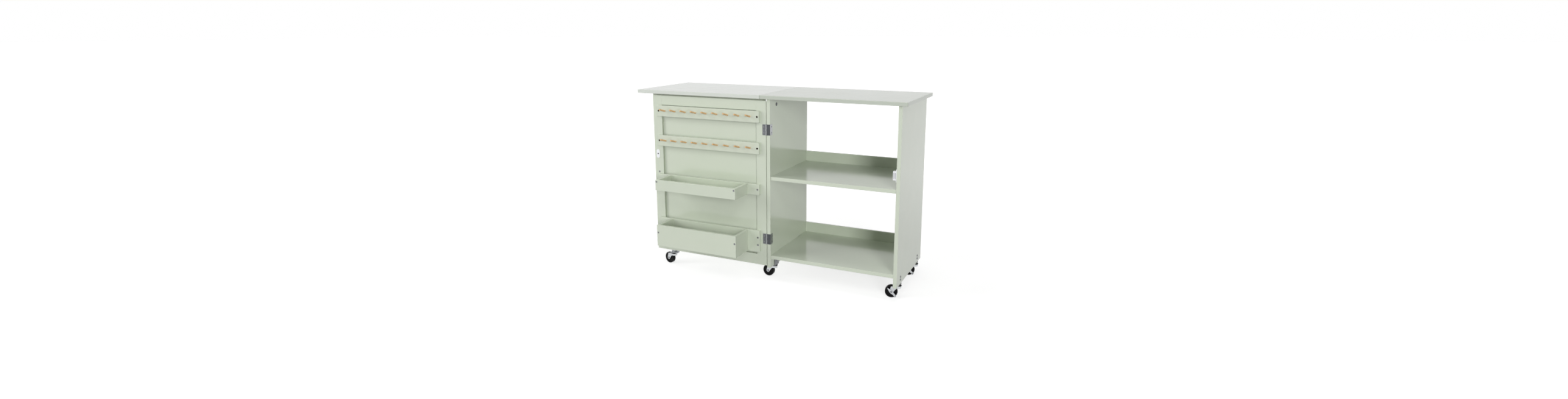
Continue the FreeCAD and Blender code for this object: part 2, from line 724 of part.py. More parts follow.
fork = joined([fork_body, near_head, far_head])

# The braked fork has a longer axle end that carries the lever
lever_inner = cheek_outer + lever_gap
lever_outer = lever_inner + lever_thickness
long_head_start = lever_outer + lever_gap
axle_end = axle_spot + backward * cheek_outer
axle_stub = Part.makeCylinder(axle_radius, long_head_start - cheek_outer, axle_end, backward)
long_head_spot = axle_spot + backward * long_head_start
long_head = Part.makeCylinder(axle_head_radius, axle_head_height, long_head_spot, backward)
braked_fork = joined([fork_body, near_head, axle_stub, long_head])
lever_boss_spot = FreeCAD.Vector(0, lever_inner, 0)
lever_boss = Part.makeCylinder(lever_boss_radius, lever_thickness, lever_boss_spot, backward)
lever_arm = block(0, lever_length, lever_inner, lever_outer, -lever_width / 2, lever_width / 2)
pedal_start = lever_length - lever_thickness
pedal_end = lever_outer + lever_pedal
lever_tab = block(pedal_start, lever_length, lever_inner, pedal_end, -lever_width / 2, lever_width / 2)
tail_half = lever_tail_tip / 2
tail_points = [
    FreeCAD.Vector(0, lever_inner, lever_boss_radius),
    FreeCAD.Vector(-lever_tail, lever_inner, tail_half),
    FreeCAD.Vector(-lever_tail, lever_inner, -tail_half),
    FreeCAD.Vector(0, lever_inner, -lever_boss_radius),
]
lever_point = slab(tail_points, backward * lever_thickness)
lever_bore_spot = FreeCAD.Vector(0, lever_inner - overrun, 0)
lever_bore_length = lever_thickness + overrun * 2
lever_bore = Part.makeCylinder(axle_radius + running_clearance, lever_bore_length, lever_bore_spot, backward)
lever = joined([lever_boss, lever_arm, lever_tab, lever_point]).cut(lever_bore)
lever.rotate(origin, forward, lever_heading)
lever.translate(axle_spot)

# One wheel, turned about its axle
wheel_half = wheel_width / 2
hub_half = wheel_half + hub_stand
web_half = wheel_half - web_setback
rim_inner = wheel_radius - rim_depth
shoulder_low = wheel_radius - tread_shoulder
shoulder_side = wheel_half - tread_shoulder
shoulder_bulge = tread_shoulder * math.cos(math.radians(half_turn / 4))
wheel_bore = axle_radius + running_clearance


def wheel_point(radius, side):
    """Return a point of the wheel's outline at a radius and a place along its axle."""
    return FreeCAD.Vector(radius, side, 0)


def shoulder(sign):
    """Return the rounded corner of the tread on one side."""
    start = wheel_point(shoulder_low, sign * wheel_half)
    bulge = wheel_point(shoulder_low + shoulder_bulge, sign * (shoulder_side + shoulder_bulge))
    end = wheel_point(wheel_radius, sign * shoulder_side)
    return Part.Arc(start, bulge, end).toShape()


wheel_outline = [
    Part.makePolygon([
        wheel_point(shoulder_low, -wheel_half),
        wheel_point(rim_inner, -wheel_half),
        wheel_point(rim_inner, -web_half),
        wheel_point(hub_radius, -web_half),
        wheel_point(hub_radius, -hub_half),
        wheel_point(wheel_bore, -hub_half),
        wheel_point(wheel_bore, hub_half),
        wheel_point(hub_radius, hub_half),
        wheel_point(hub_radius, web_half),
        wheel_point(rim_inner, web_half),
        wheel_point(rim_inner, wheel_half),
        wheel_point(shoulder_low, wheel_half),
    ]),
    shoulder(1),
    Part.makeLine(wheel_point(wheel_radius, shoulder_side), wheel_point(wheel_radius, -shoulder_side)),
    shoulder(-1),
]
wheel_edges = []
for part_of_outline in wheel_outline:
    wheel_edges.extend(part_of_outline.Edges)
wheel_face = Part.Face(Part.Wire(Part.__sortEdges__(wheel_edges)))
wheel = wheel_face.revolve(origin, backward, half_turn * 2)
wheel.translate(axle_spot)

# Set the casters out under the cabinet and the door
half_board = board / 2
front_row = front_caster_setback
back_row = cabinet_depth - back_caster_setback
left_row = half_board
right_row = cabinet_width - half_board
door_swivel = FreeCAD.Vector(door_left + door_caster_inset, door_back - half_board, 0)
cabinet_casters = [
    ("front_left", FreeCAD.Vector(left_row, front_row, 0), 0, front_left_heading, False),
    ("back_left", FreeCAD.Vector(left_row, back_row, 0), 0, back_left_heading, False),
    ("front_right", FreeCAD.Vector(right_row, front_row, 0), half_turn, front_right_heading, True),
    ("back_right", FreeCAD.Vector(right_row, back_row, 0), half_turn, back_right_heading, True),
]
brackets = []
king_pins = []
bolts = []
bolt_shank = Part.makeCylinder(bolt_radius, board + bracket_thickness, origin, down)
bolt_head = Part.makeCylinder(bolt_head_radius, bolt_head_height, origin, up)
bolt_nut_spot = FreeCAD.Vector(0, 0, -board - bracket_thickness)
bolt_nut = Part.makeCylinder(bolt_head_radius, bolt_head_height, bolt_nut_spot, down)
through_bolt = joined([bolt_shank, bolt_head, bolt_nut])
lag_shank = Part.makeCylinder(bolt_radius, bolt_bite + bracket_thickness, origin, down)
lag_bolt = joined([lag_shank, bolt_head])
for caster_name, spot, facing, heading, braked in cabinet_casters:
    bracket_spot = spot - swivel_spot
    if facing:
        bracket_spot = spot + swivel_spot
    placed_bracket = turned(bracket, facing, bracket_spot)
    inward = right
    panel_name = "left_side_panel"
    if facing:
        inward = left
        panel_name = "right_side_panel"
    for index in range(2):
        bolt_z = panel_bottom + caster_bolt_low + index * caster_bolt_pitch
        bolt_spot = bracket_spot + inward * bracket_thickness + up * bolt_z
        bolt = aimed(through_bolt, bolt_spot, inward * -1)
        placed_bracket = placed_bracket.cut(bolt)
        pieces[panel_name] = pieces[panel_name].cut(bolt)
        bolts.append(bolt)
    brackets.append(placed_bracket)
    king_pins.append(turned(king_pin, facing, bracket_spot))
    pieces["caster_fork_" + caster_name] = turned(braked_fork if braked else fork, heading, spot)
    pieces["caster_wheel_" + caster_name] = turned(wheel, heading, spot)
    if braked:
        pieces["brake_lever_" + caster_name] = turned(lever, heading, spot)
pieces["caster_brackets"] = Part.makeCompound(brackets)
pieces["caster_king_pins"] = Part.makeCompound(king_pins)
pieces["caster_bolts"] = Part.makeCompound(bolts)

# The door's caster hangs from its outer face
door_bracket_spot = FreeCAD.Vector(door_swivel.x, door_back, 0)
door_bracket = turned(bracket, quarter_turn, door_bracket_spot)
door_bolts = []
for index in range(2):
    bolt_z = panel_bottom + caster_bolt_low + index * caster_bolt_pitch
    bolt_spot = door_bracket_spot + backward * bracket_thickness + up * bolt_z
    bolt = aimed(lag_bolt, bolt_spot, forward)
    door_bracket = door_bracket.cut(bolt)
    pieces["door_bottom_rail"] = pieces["door_bottom_rail"].cut(bolt)
    door_bolts.append(bolt)
pieces["door_caster_bracket"] = door_bracket
pieces["door_caster_bolts"] = Part.makeCompound(door_bolts)
pieces["door_caster_king_pin"] = turned(king_pin, quarter_turn, door_bracket_spot)
pieces["caster_fork_door"] = turned(fork, door_heading, door_swivel)
pieces["caster_wheel_door"] = turned(wheel, door_heading, door_swivel)

# The common frame has its origin on the floor under the middle of the whole table
frame_shift = FreeCAD.Vector(-(leaf_left + top_right) / 2, -(bin_front + top_back) / 2, 0)
for piece_name, shape in pieces.items():
    placed = shape.copy()
    placed.translate(frame_shift)
    placed.exportStep("parts/" + piece_name + ".step")
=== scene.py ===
import json
import math

import bmesh
import bpy
from bpy.props import FloatProperty, FloatVectorProperty, IntProperty, PointerProperty
from mathutils import Matrix, Vector


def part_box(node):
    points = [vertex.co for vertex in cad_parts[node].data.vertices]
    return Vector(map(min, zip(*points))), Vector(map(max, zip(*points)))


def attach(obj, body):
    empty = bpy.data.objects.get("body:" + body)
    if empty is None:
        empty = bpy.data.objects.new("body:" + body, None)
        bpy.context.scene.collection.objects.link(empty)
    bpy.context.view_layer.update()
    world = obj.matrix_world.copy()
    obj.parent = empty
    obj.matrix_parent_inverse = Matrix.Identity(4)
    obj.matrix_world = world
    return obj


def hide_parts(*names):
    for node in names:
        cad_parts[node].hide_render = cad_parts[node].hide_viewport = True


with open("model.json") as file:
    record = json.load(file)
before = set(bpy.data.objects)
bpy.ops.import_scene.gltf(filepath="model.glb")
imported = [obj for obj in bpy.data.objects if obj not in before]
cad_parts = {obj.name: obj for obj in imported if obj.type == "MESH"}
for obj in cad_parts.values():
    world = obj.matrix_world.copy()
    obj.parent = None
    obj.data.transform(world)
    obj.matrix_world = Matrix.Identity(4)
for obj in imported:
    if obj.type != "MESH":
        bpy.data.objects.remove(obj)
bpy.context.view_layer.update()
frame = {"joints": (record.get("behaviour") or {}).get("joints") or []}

bl_info = {
    "name": "Folding cutting table",
    "version": (1, 0, 0),
    "blender": (4, 5, 0),
    "location": "3D View > Sidebar > Cutting table",
    "description": "Dresses the packed frame of a folding cutting table with painted boards and hardware",
    "category": "Object",
}

MM = 0.001
QUARTER = math.radians(90.0)
RIGHT, LEFT = Vector((1.0, 0.0, 0.0)), Vector((-1.0, 0.0, 0.0))
BACK, FRONT = Vector((0.0, 1.0, 0.0)), Vector((0.0, -1.0, 0.0))
UP, DOWN = Vector((0.0, 0.0, 1.0)), Vector((0.0, 0.0, -1.0))

# Face layers that the finishes read: marked faces, which take another colour (lacquer rubbed thin with
# painted highlight on board edges, painted highlight on hinges, painted shade in screw recesses), and the
# walls of a recess, darkened as painted shade
EDGE_LAYER = "edge"
RECESS_LAYER = "recess"

# Sockets of a Mix node that mixes colours
MIX_FACTOR, MIX_A, MIX_B, MIX_COLOUR = 0, 6, 7, 2

# Edges that bend more than this are eased, and stay sharp in the shading
SHARP = math.radians(50.0)

# A face looks along a way where the cosine of the angle between them is above this
FACING = 0.99

# Vertices nearer than this become one
MERGE_DISTANCE = 0.001 * MM

# Facets round small turned pieces, in the eased edges of thin and of thicker parts, and in a bend
ROUND_FACETS = 24
THIN_STEPS = 2
FULL_STEPS = 3
BEND_STEPS = 4

# Boards; the door's top edge falls from its inside face to its outer face
BOARD_THICKNESS = 15.0 * MM
DOOR_TOP_FALL = 7.5 * MM
TOP_CORNER_STEPS = 5

# Pegs lean up by their tilt and sink into their rails by their bite
RAILS = ("upper_peg_rail", "lower_peg_rail")
PEG_RADIUS = 3.3 * MM
PEG_TIP = 1.0 * MM
PEG_TILT = math.radians(15.0)
PEG_BITE = 6.0 * MM
PEG_REACH = 39.0 * MM
PEG_COUNT = 9
PEG_END_INSET = 40.6 * MM

# Driven heads stand a little proud; the shares are of a head's radius, its height and its recess
HEAD_PROUD = 0.45 * MM
HEAD_TOP_SHARE = 0.86
HEAD_RIM_SHARE = 0.2
RECESS_FLOOR_SHARE = 0.9
CROSS_DEPTH = 0.35 * MM
CROSS_ARM_SHARE = 0.5
CROSS_HALF_WIDTH_SHARE = 0.13
BIG_HEAD = 4.0 * MM
SMALL_HEAD = 3.0 * MM

# A domed head's profile, in shares of its radius and height
DOME_SHARES = ((0.0, 1.0), (0.45, 0.96), (0.78, 0.74), (0.95, 0.38), (1.0, 0.0), (1.0, -0.2), (0.0, -0.2))

# Screws of the rails and bins; each bin has the pitch of its back screws and the drop of its front ones
BACK_SCREW_INSET = 8.0 * MM
BIN_BOARD = 12.0 * MM
BIN_SCREWS = (("upper_bin", 0.0, 8.0 * MM), ("lower_bin", 32.0 * MM, 33.0 * MM))

# Cam locks
CAM_RADIUS = 7.5 * MM
CAM_SLOT_HALF_LENGTH = 5.0 * MM
CAM_SLOT_HALF_WIDTH = 1.0 * MM
CAM_SLOT_CORNER = 0.6 * MM

# Door hinges; a tongue joins each knuckle to its leaf
HINGE_TALL = 44.0 * MM
HINGE_PLATE = 1.0 * MM
HINGE_BEND = 0.8 * MM
HINGE_CORNER = 2.0 * MM
HINGE_EASE = 0.25 * MM
HINGE_SCREW_PITCH = 24.0 * MM
HINGE_SCREW_INSET = 6.5 * MM
KNUCKLES = 5
KNUCKLE_RADIUS = 2.5 * MM
KNUCKLE_GAP = 0.3 * MM
KNUCKLE_REACH = 2.9 * MM
KNUCKLE_CHAMFER = 0.2 * MM
TONGUE_START_SHARE = 0.4
TONGUE_RUN = 1.0 * MM
PIN_HEAD_RADIUS = 1.8 * MM
PIN_HEAD_HEIGHT = 0.9 * MM

# Leaf hinges
LEAF_HINGE_LONG = 60.0 * MM
LEAF_PLATE = 1.5 * MM
LEAF_HINGE_CORNER = 3.0 * MM
LEAF_HINGE_EASE = 0.3 * MM
LEAF_SCREW_PITCH = 40.0 * MM
LEAF_SCREW_INSET = 7.0 * MM
LEAF_KNUCKLE_RADIUS = 3.0 * MM
LEAF_KNUCKLE_REACH = 3.4 * MM
LEAF_KNUCKLE_CHAMFER = 0.25 * MM
LEAF_TONGUE_START = 1.0 * MM
LEAF_PIN_HEAD_RADIUS = 2.2 * MM
LEAF_PIN_HEAD_HEIGHT = 1.0 * MM

# Magnetic catch, with a screwed ear at each end, and the strike plate
CATCH_EASE = 1.4 * MM
CATCH_EAR_TALL = 7.0 * MM
CATCH_EAR_THICK = 3.0 * MM
CATCH_EAR_INSET = 1.5 * MM
CATCH_EAR_EASE = 1.0 * MM
CATCH_SCREW_INSET = 3.5 * MM
POLE_THICK = 1.8 * MM
POLE_EASE = 0.3 * MM
STRIKE_EASE = 0.6 * MM
STRIKE_END_STEPS = 16

# The knob's profile from the door outwards: radius and height in mm
KNOB_FACETS = 48
KNOB_PROFILE_MM = (
    (0.0, 0.0), (8.5, 0.0), (8.5, 2.3), (8.0, 2.9), (6.6, 3.8), (5.9, 5.6), (5.8, 7.4), (6.4, 9.2),
    (8.4, 10.6), (11.2, 11.6), (12.5, 12.9), (13.0, 14.8), (13.0, 17.0), (12.6, 19.2), (11.4, 21.2),
    (9.2, 22.4), (5.4, 22.9), (0.0, 23.0),
)

# Casters, each in its own frame: swivel axis at the origin, wheel trailing along X
CABINET_CASTERS = ("front_left", "back_left", "front_right", "back_right")
CASTERS = (*CABINET_CASTERS, "door")
BRAKED = ("front_right", "back_right")

# One side of a wheel from its bore to its rounded tread, as radius and side in mm
WHEEL_FACETS = 64
WHEEL_SIDE_MM = (
    (3.05, -8.5), (7.2, -8.5), (7.9, -7.9), (8.1, -6.2), (8.9, -5.5), (13.0, -5.2), (17.3, -5.5),
    (18.1, -6.1), (18.5, -7.3), (19.3, -8.0), (22.5, -8.0), (23.46, -7.81), (24.27, -7.27),
    (24.81, -6.46), (25.0, -5.5),
)

# Forks: a race under the bracket, a half-round crown and heel, and two cheeks down to the axle
RACE_FACETS = 40
RACE_PROFILE_MM = (
    (3.6, 48.2), (12.1, 48.2), (12.5, 48.6), (12.5, 49.3), (11.5, 49.5), (11.5, 49.9), (12.5, 50.1),
    (12.5, 50.8), (12.0, 51.2), (3.6, 51.2),
)
CROWN_LOW = 45.2 * MM
CROWN_HIGH = 48.2 * MM
CROWN_REACH = 8.0 * MM
CROWN_SETBACK = 0.2 * MM
CROWN_EASE = 0.6 * MM
HEEL_LOW = 39.5 * MM
HEEL_SETBACK = 0.5 * MM
HEEL_EASE = 0.4 * MM
HEEL_STEPS = 20
CHEEK_INNER = 9.0 * MM
CHEEK_THICKNESS = 2.2 * MM
CHEEK_OUTER = CHEEK_INNER + CHEEK_THICKNESS
CHEEK_EASE = 0.55 * MM
CHEEK_FRONT_DEGREES = 12
CHEEK_UNDER_DEGREES = -142
CHEEK_UNDERSIDE = ((9.8 * MM, 36.6 * MM), (6.5 * MM, HEEL_LOW - 0.4 * MM), (3.5 * MM, HEEL_LOW))
NOSE_RADIUS = 3.0 * MM
NOSE_SETBACK = 0.5 * MM
NOSE_DROP = 0.7 * MM
NOSE_STEPS = 5
BOSS_RADIUS = 7.0 * MM
BOSS_STEPS = 14

# Axles, longer where a brake lever sits on them, and their rivet heads
AXLE_RADIUS = 3.0 * MM
AXLE_CHAMFER = 0.3 * MM
BRAKE_ROOM = 2.4 * MM
RIVET_RADIUS = 4.2 * MM
RIVET_PROUD = 1.4 * MM
DIMPLE_RADIUS = 1.2 * MM
DIMPLE_DEPTH = 1.0 * MM
DIMPLE_FACETS = 12

# Brake levers: half of the outline in mm, from the pedal to the tail, and the tip on the middle line
LEVER_HALF_MM = ((24.0, 3.6), (9.5, 4.2), (5.0, 5.8), (0.0, 6.5), (-5.0, 5.6), (-21.4, 1.2))
LEVER_TIP_MM = (-22.0, 0.0)
LEVER_TURN = math.radians(-225.0)
LEVER_INNER = 11.6 * MM
LEVER_THICK = 1.6 * MM
LEVER_END = 24.0 * MM
LEVER_EASE = 0.4 * MM
PEDAL_WIDE = 8.6 * MM
PEDAL_HALF_DEPTH = 4.0 * MM
PEDAL_EASE = 0.6 * MM
RIB_LEVELS = (-2.0 * MM, 0.0, 2.0 * MM)
RIB_HALF_WIDTH = 0.5 * MM
RIB_SUNK = 0.3 * MM
RIB_PROUD = 0.4 * MM
RIB_INNER_INSET = 2.0 * MM
RIB_OUTER_INSET = 1.0 * MM
RIB_EASE = 0.3 * MM

# Caster brackets, their bolts and the washers under the outer heads
BRACKET_OFFSET = 7.5 * MM
BRACKET_LOW = 51.5 * MM
BRACKET_PLATE = 2.5 * MM
BRACKET_TOP = 93.0 * MM
BRACKET_REACH = 15.0 * MM
BRACKET_HALF_WIDTH = 20.0 * MM
BRACKET_BEND = 2.0 * MM
BRACKET_CORNER = 5.0 * MM
BRACKET_CORNER_STEPS = 6
BRACKET_EASE = 0.4 * MM
LEVEL_SLACK = 0.01 * MM
BOLT_LEVELS = (74.0 * MM, 86.0 * MM)
BOLT_RADIUS = 4.5 * MM
BOLT_HEIGHT = 2.2 * MM
OUTER_BOLT_RADIUS = 4.2 * MM
WASHER_RADIUS = 6.0 * MM
WASHER_HEIGHT = 0.7 * MM

# King pins, riveted through bracket and crown: radius and height in mm
KING_PIN_FACETS = 32
KING_PIN_PROFILE_MM = (
    (0.0, 43.7), (4.9, 43.7), (5.5, 44.2), (5.5, 44.9), (3.5, 44.9), (3.5, 54.0), (6.0, 54.0), (5.8, 55.0),
    (4.4, 55.9), (2.0, 56.2), (0.0, 56.2),
)

# Stage, in metres: the floor's own glow rises to white between two distances from the table
FLOOR_RADIUS = 60.0
FLOOR_FACETS = 64
GLOW_NEAR = 0.9
GLOW_FAR = 2.4
WHITE = (1.0, 1.0, 1.0, 1.0)
SENSOR_WIDTH_MM = 36.0
LAMP_DISTANCE = 10.0
LAMP_AIM = Vector((0.0, 0.0, 0.4))

# Strip lights: degrees right of the front, degrees above the floor, width and height in metres
STRIPS = (("right_strip", 36.0, 11.0, 2.3, 3.6), ("left_strip", -57.0, 22.0, 4.2, 6.6))

# Far lights: degrees right of the front, degrees above the floor, degrees of spread
FAR_LIGHTS = (
    ("high", 34.0, 42.0, 24.0),
    ("top", 0.0, 88.0, 24.0),
    ("back", 180.0, 2.0, 6.0),
    ("back_left", -100.0, 10.0, 40.0),
)


def linear(code):
    """Turn an sRGB hex code into a linear colour."""
    parts = [int(code[i:i + 2], 16) / 255.0 for i in (1, 3, 5)]
    return tuple(p / 12.92 if p <= 0.04045 else ((p + 0.055) / 1.055) ** 2.4 for p in parts)


def colour(name, description, code):
    """Declare a colour that a user may change."""
    return FloatVectorProperty(
        name=name, description=description, subtype="COLOR", size=3, min=0.0, max=1.0, default=linear(code)
    )


def length(name, description, size):
    """Declare a length that a user may change."""
    return FloatProperty(
        name=name, description=description, default=size, min=0.0, unit="LENGTH", precision=5
    )


def angle(name, description, degrees):
    """Declare an angle that a user may change."""
    return FloatProperty(name=name, description=description, default=math.radians(degrees), unit="ROTATION")


def strength(name, description, value, unit="NONE"):
    return FloatProperty(name=name, description=description, default=value, min=0.0, unit=unit)


class BoardSettings(bpy.types.PropertyGroup):
    """Edges of the painted boards"""

    edge_ease: length("Board edge", "Rounding sanded on the cabinet and door boards", 1.0 * MM)
    fitting_ease: length("Fitting edge", "Rounding sanded on the peg rails and bins", 0.8 * MM)
    top_ease: length("Top edge", "Rounding on the edges of the two tops", 1.3 * MM)
    top_corner: length("Top corner", "Radius of the corners of the two tops, seen from above", 3.0 * MM)
    ease_steps: IntProperty(name="Edge steps", description="Facets in each rounded edge", default=3, min=1)


class PaintSettings(bpy.types.PropertyGroup):
    """Colours of the painted boards"""

    sage: colour("Sage", "Sage green lacquer on the boards", "#C6CFBD")
    sage_pale: colour("Sage, pale", "Lighter mottle of the sage lacquer", "#CCD3C3")
    # Paler edges: lacquer rubbed thin on the sanded edges, together with painted highlight along them
    sage_edge_rubbed_and_highlight: colour("Sage, edges", "Thinner lacquer over the sanded edges", "#D5DACD")
    # Painted shade: the walls round the door's panel are darkened where shade falls in the recess
    sage_recess_shade: colour("Sage, recess", "Darker lacquer on the walls round the door's panel", "#A2AB99")
    top: colour("Top", "Lacquer on the main top", "#B9C0B4")
    top_pale: colour("Top, pale", "Lighter mottle of the main top", "#BEC4B9")
    leaf: colour("Leaf", "Lacquer on the drop leaf", "#D0D5CD")
    leaf_pale: colour("Leaf, pale", "Lighter mottle of the drop leaf", "#D6DAD4")


class HardwareSettings(bpy.types.PropertyGroup):
    """Colours of the fittings"""

    beech: colour("Beech", "Light wood of the pegs", "#E6C293")
    beech_grain: colour("Beech grain", "Darker grain of the pegs", "#CB9A62")
    zinc: colour("Zinc", "Bright zinc of the casters", "#D4D6D8")
    zinc_dull: colour("Zinc, dull", "Duller patches of the zinc", "#B4B7BA")
    # Painted shade: the bolt heads and the cabinet's brackets are a darker zinc than the door's bright
    # bracket
    bolt: colour("Bolt steel", "Dulled zinc of the bolt heads and cabinet brackets", "#8A8C8F")
    # Painted shade: the swivel races are dark to stand for the shaded gap under each bracket
    race: colour("Race steel", "Dark greased steel of the swivel races", "#2A2B2D")
    hinge: colour("Hinge steel", "Zinc-plated steel of the hinges", "#7C7E81")
    # Painted highlight on the hinges' edges and knuckles
    hinge_highlight: colour("Hinge steel, rubbed", "Brighter edges and knuckles of the hinges", "#A4A6A9")
    # Painted dark reflection on the hinge leaves on the panel; the cam locks use it as their darker patches
    dark_zinc_and_hinge_shade: colour("Hinge steel, dark", "Darker front of the hinge leaves on the panel", "#4A4C4F")
    hinge_dull: colour("Hinge steel, dull", "Darker patches on the hinges", "#56585B")
    tyre: colour("Tyre", "Black moulded wheels", "#040405")
    tyre_scuff: colour("Tyre scuff", "Dust and scuffs on the wheels", "#0B0B0C")
    plastic: colour("Plastic", "White moulded catch and strike plate", "#EEF0F3")
    # Dark brown heads of the peg rails' screws
    dark_screw: colour("Blackened steel", "Blackened screws of the peg rails", "#3B312B")
    screw: colour("Screw steel", "Plain zinc screws of the bins and hinges", "#B2B4B6")
    # Painted shade in the crosses, slots, dimples and rim rings of driven heads; real grime in the patches of
    # the race steel
    grime_and_recess_shade: colour("Recess", "Dark bottom of each screw's cross", "#15120F")
    nickel: colour("Knob metal", "Brushed nickel knob", "#B9B6B0")


class StageSettings(bpy.types.PropertyGroup):
    """Camera, light and floor"""

    camera_place: FloatVectorProperty(
        name="Camera place", description="Where the camera stands", subtype="XYZ", unit="LENGTH",
        default=(1.192, -2.4965, 1.047),
    )
    camera_turn: angle("Camera turn", "How far the camera looks to the left of straight back", 24.85)
    camera_tilt: angle("Camera tilt", "How far the camera looks down", 11.47)
    lens: FloatProperty(
        name="Lens", description="Focal length in mm on a 36 mm sensor", default=15.275, min=1.0
    )
    shift: FloatProperty(
        name="Shift", description="Upward shift of the lens, as a share of the width", default=-0.025
    )
    floor_colour: colour("Floor", "Pale paper of the floor", "#AFAFAF")
    floor_glow: strength("Floor glow", "Lifts the floor to white in the camera", 0.74)
    fill: strength("Fill light", "Even light from the white studio all round", 0.06)
    right_strip: strength("Right strip", "Tall strip light at the front right", 505.0, "POWER")
    left_strip: strength("Left strip", "Tall strip light at the left", 500.0, "POWER")
    high: strength("High light", "Weak light from above the right strip", 0.46)
    top: strength("Top light", "Soft light from above", 0.7)
    back: strength("Back light", "Low light from behind", 2.0)
    back_left: strength("Back left light", "Weak light from the back left", 1.0)


# Shapes


def fresh():
    """Start a mesh whose faces remember whether they are marked for another colour, and whether they are the
    walls of a recess, darkened as painted shade.
    """
    bm = bmesh.new()
    bm.faces.layers.float.new(EDGE_LAYER)
    bm.faces.layers.float.new(RECESS_LAYER)
    return bm


def since(bm, old):
    """Return the vertices added after a set of old ones was taken."""
    return [vert for vert in bm.verts if vert not in old]


def edges_of(verts):
    """Return the edges whose two ends are among some vertices."""
    chosen = set(verts)
    found = {edge for vert in verts for edge in vert.link_edges}
    return [edge for edge in found if edge.verts[0] in chosen and edge.verts[1] in chosen]


def faces_of(verts):
    """Return the faces round some vertices."""
    return list({face for vert in verts for face in vert.link_faces})


def faces_along(bm, way):
    """Return the faces that look along a way."""
    for face in bm.faces:
        face.normal_update()
    return [face for face in bm.faces if face.normal.dot(way) > FACING]


def mark(bm, faces, layer_name=EDGE_LAYER):
    """Mark faces on a layer, for the finishes to read."""
    layer = bm.faces.layers.float[layer_name]
    for face in faces:
        face[layer] = 1.0


def ease(bm, edges, width, steps):
    """Round some edges and mark the new faces as edge faces."""
    if not edges or width <= 0.0:
        return
    made = bmesh.ops.bevel(
        bm, geom=edges, offset=width, offset_type="OFFSET", affect="EDGES", segments=steps,
        profile=0.5, material=-1, clamp_overlap=True, loop_slide=True,
    )
    mark(bm, made["faces"])


def ease_sharp(bm, verts, width, steps):
    """Round every sharp edge among some vertices."""
    closed = [edge for edge in edges_of(verts) if len(edge.link_faces) == 2]
    ease(bm, [edge for edge in closed if edge.calc_face_angle() > SHARP], width, steps)


def add_board(bm, low, high, width, steps, fall=0.0, place=None):
    """Add a board between two corners; its top may fall towards the back."""
    old = set(bm.verts)
    size = high - low
    middle = (high + low) / 2
    block = Matrix.Translation(middle) @ Matrix.Diagonal(size.to_4d())
    made = bmesh.ops.create_cube(bm, size=1.0, matrix=block)
    for vert in made["verts"]:
        if vert.co.z > middle.z and vert.co.y > middle.y:
            vert.co.z -= fall
    ease(bm, edges_of(made["verts"]), width, steps)
    if place is not None:
        bmesh.ops.transform(bm, matrix=place, verts=since(bm, old))


def add_turned(bm, outline, place, steps=ROUND_FACETS, ring=False):
    """Add a turned shape: an outline of radius and height pairs, spun about the Z axis of its place."""
    old = set(bm.verts)
    verts = [bm.verts.new((radius, 0.0, height)) for radius, height in outline]
    edges = [bm.edges.new(pair) for pair in zip(verts, verts[1:])]
    if ring:
        edges.append(bm.edges.new((verts[-1], verts[0])))
    bmesh.ops.spin(
        bm, geom=verts + edges, cent=(0, 0, 0), axis=(0, 0, 1), dvec=(0, 0, 0), angle=math.tau,
        steps=steps, use_merge=True,
    )
    bmesh.ops.remove_doubles(bm, verts=since(bm, old), dist=MERGE_DISTANCE)
    verts = since(bm, old)
    bmesh.ops.recalc_face_normals(bm, faces=faces_of(verts))
    bmesh.ops.transform(bm, matrix=place, verts=verts)


def add_plate(bm, outline, thickness):
    """Add a plate: a flat outline pushed along Z by a thickness. Returns its vertices."""
    old = set(bm.verts)
    face = bm.faces.new([bm.verts.new((x, y, 0.0)) for x, y in outline])
    pushed = bmesh.ops.extrude_face_region(bm, geom=[face])["geom"]
    moved = [item for item in pushed if isinstance(item, bmesh.types.BMVert)]
    bmesh.ops.translate(bm, verts=moved, vec=(0.0, 0.0, thickness))
    verts = since(bm, old)
    bmesh.ops.recalc_face_normals(bm, faces=faces_of(verts))
    return verts


def add_eased_plate(bm, outline, thickness, width, steps, place):
    """Add a plate with rounded edges at a place."""
    old = set(bm.verts)
    ease_sharp(bm, add_plate(bm, outline, thickness), width, steps)
    bmesh.ops.transform(bm, matrix=place, verts=since(bm, old))


def arc(centre_x, centre_y, radius, start, end, steps):
    """Return points along an arc, with its angles in degrees."""
    angles = [math.radians(start + (end - start) * index / steps) for index in range(steps + 1)]
    return [(centre_x + radius * math.cos(a), centre_y + radius * math.sin(a)) for a in angles]


def circle(radius, steps):
    """Return points round a circle about the origin."""
    return arc(0.0, 0.0, radius, 0, 360, steps)[:-1]


def rounded_rectangle(x_low, x_high, y_low, y_high, radius, steps=BEND_STEPS):
    """Return the outline of a rectangle with rounded corners."""
    return (
        arc(x_high - radius, y_low + radius, radius, -90, 0, steps)
        + arc(x_high - radius, y_high - radius, radius, 0, 90, steps)
        + arc(x_low + radius, y_high - radius, radius, 90, 180, steps)
        + arc(x_low + radius, y_low + radius, radius, 180, 270, steps)
    )


def in_metres(points):
    """Turn pairs in millimetres into metres."""
    return [(first * MM, second * MM) for first, second in points]


def inset_pair(low, high, inset):
    """Return the two places that lie an inset within a span."""
    return low + inset, high - inset


def pair_about(middle, pitch):
    """Return the two places a pitch apart about a middle."""
    return middle - pitch / 2, middle + pitch / 2


def along(spot, way):
    """Return the place whose Z axis points along a way from a spot."""
    return Matrix.Translation(spot) @ way.to_track_quat("Z", "Y").to_matrix().to_4x4()


def lifted(height):
    """Return the place a height above the origin."""
    return Matrix.Translation((0.0, 0.0, height))


def facing_front(spot):
    """Return the place whose X and Y axes lie along X and Z, with thickness towards the front."""
    return Matrix.Translation(spot) @ Matrix.Rotation(QUARTER, 4, "X")


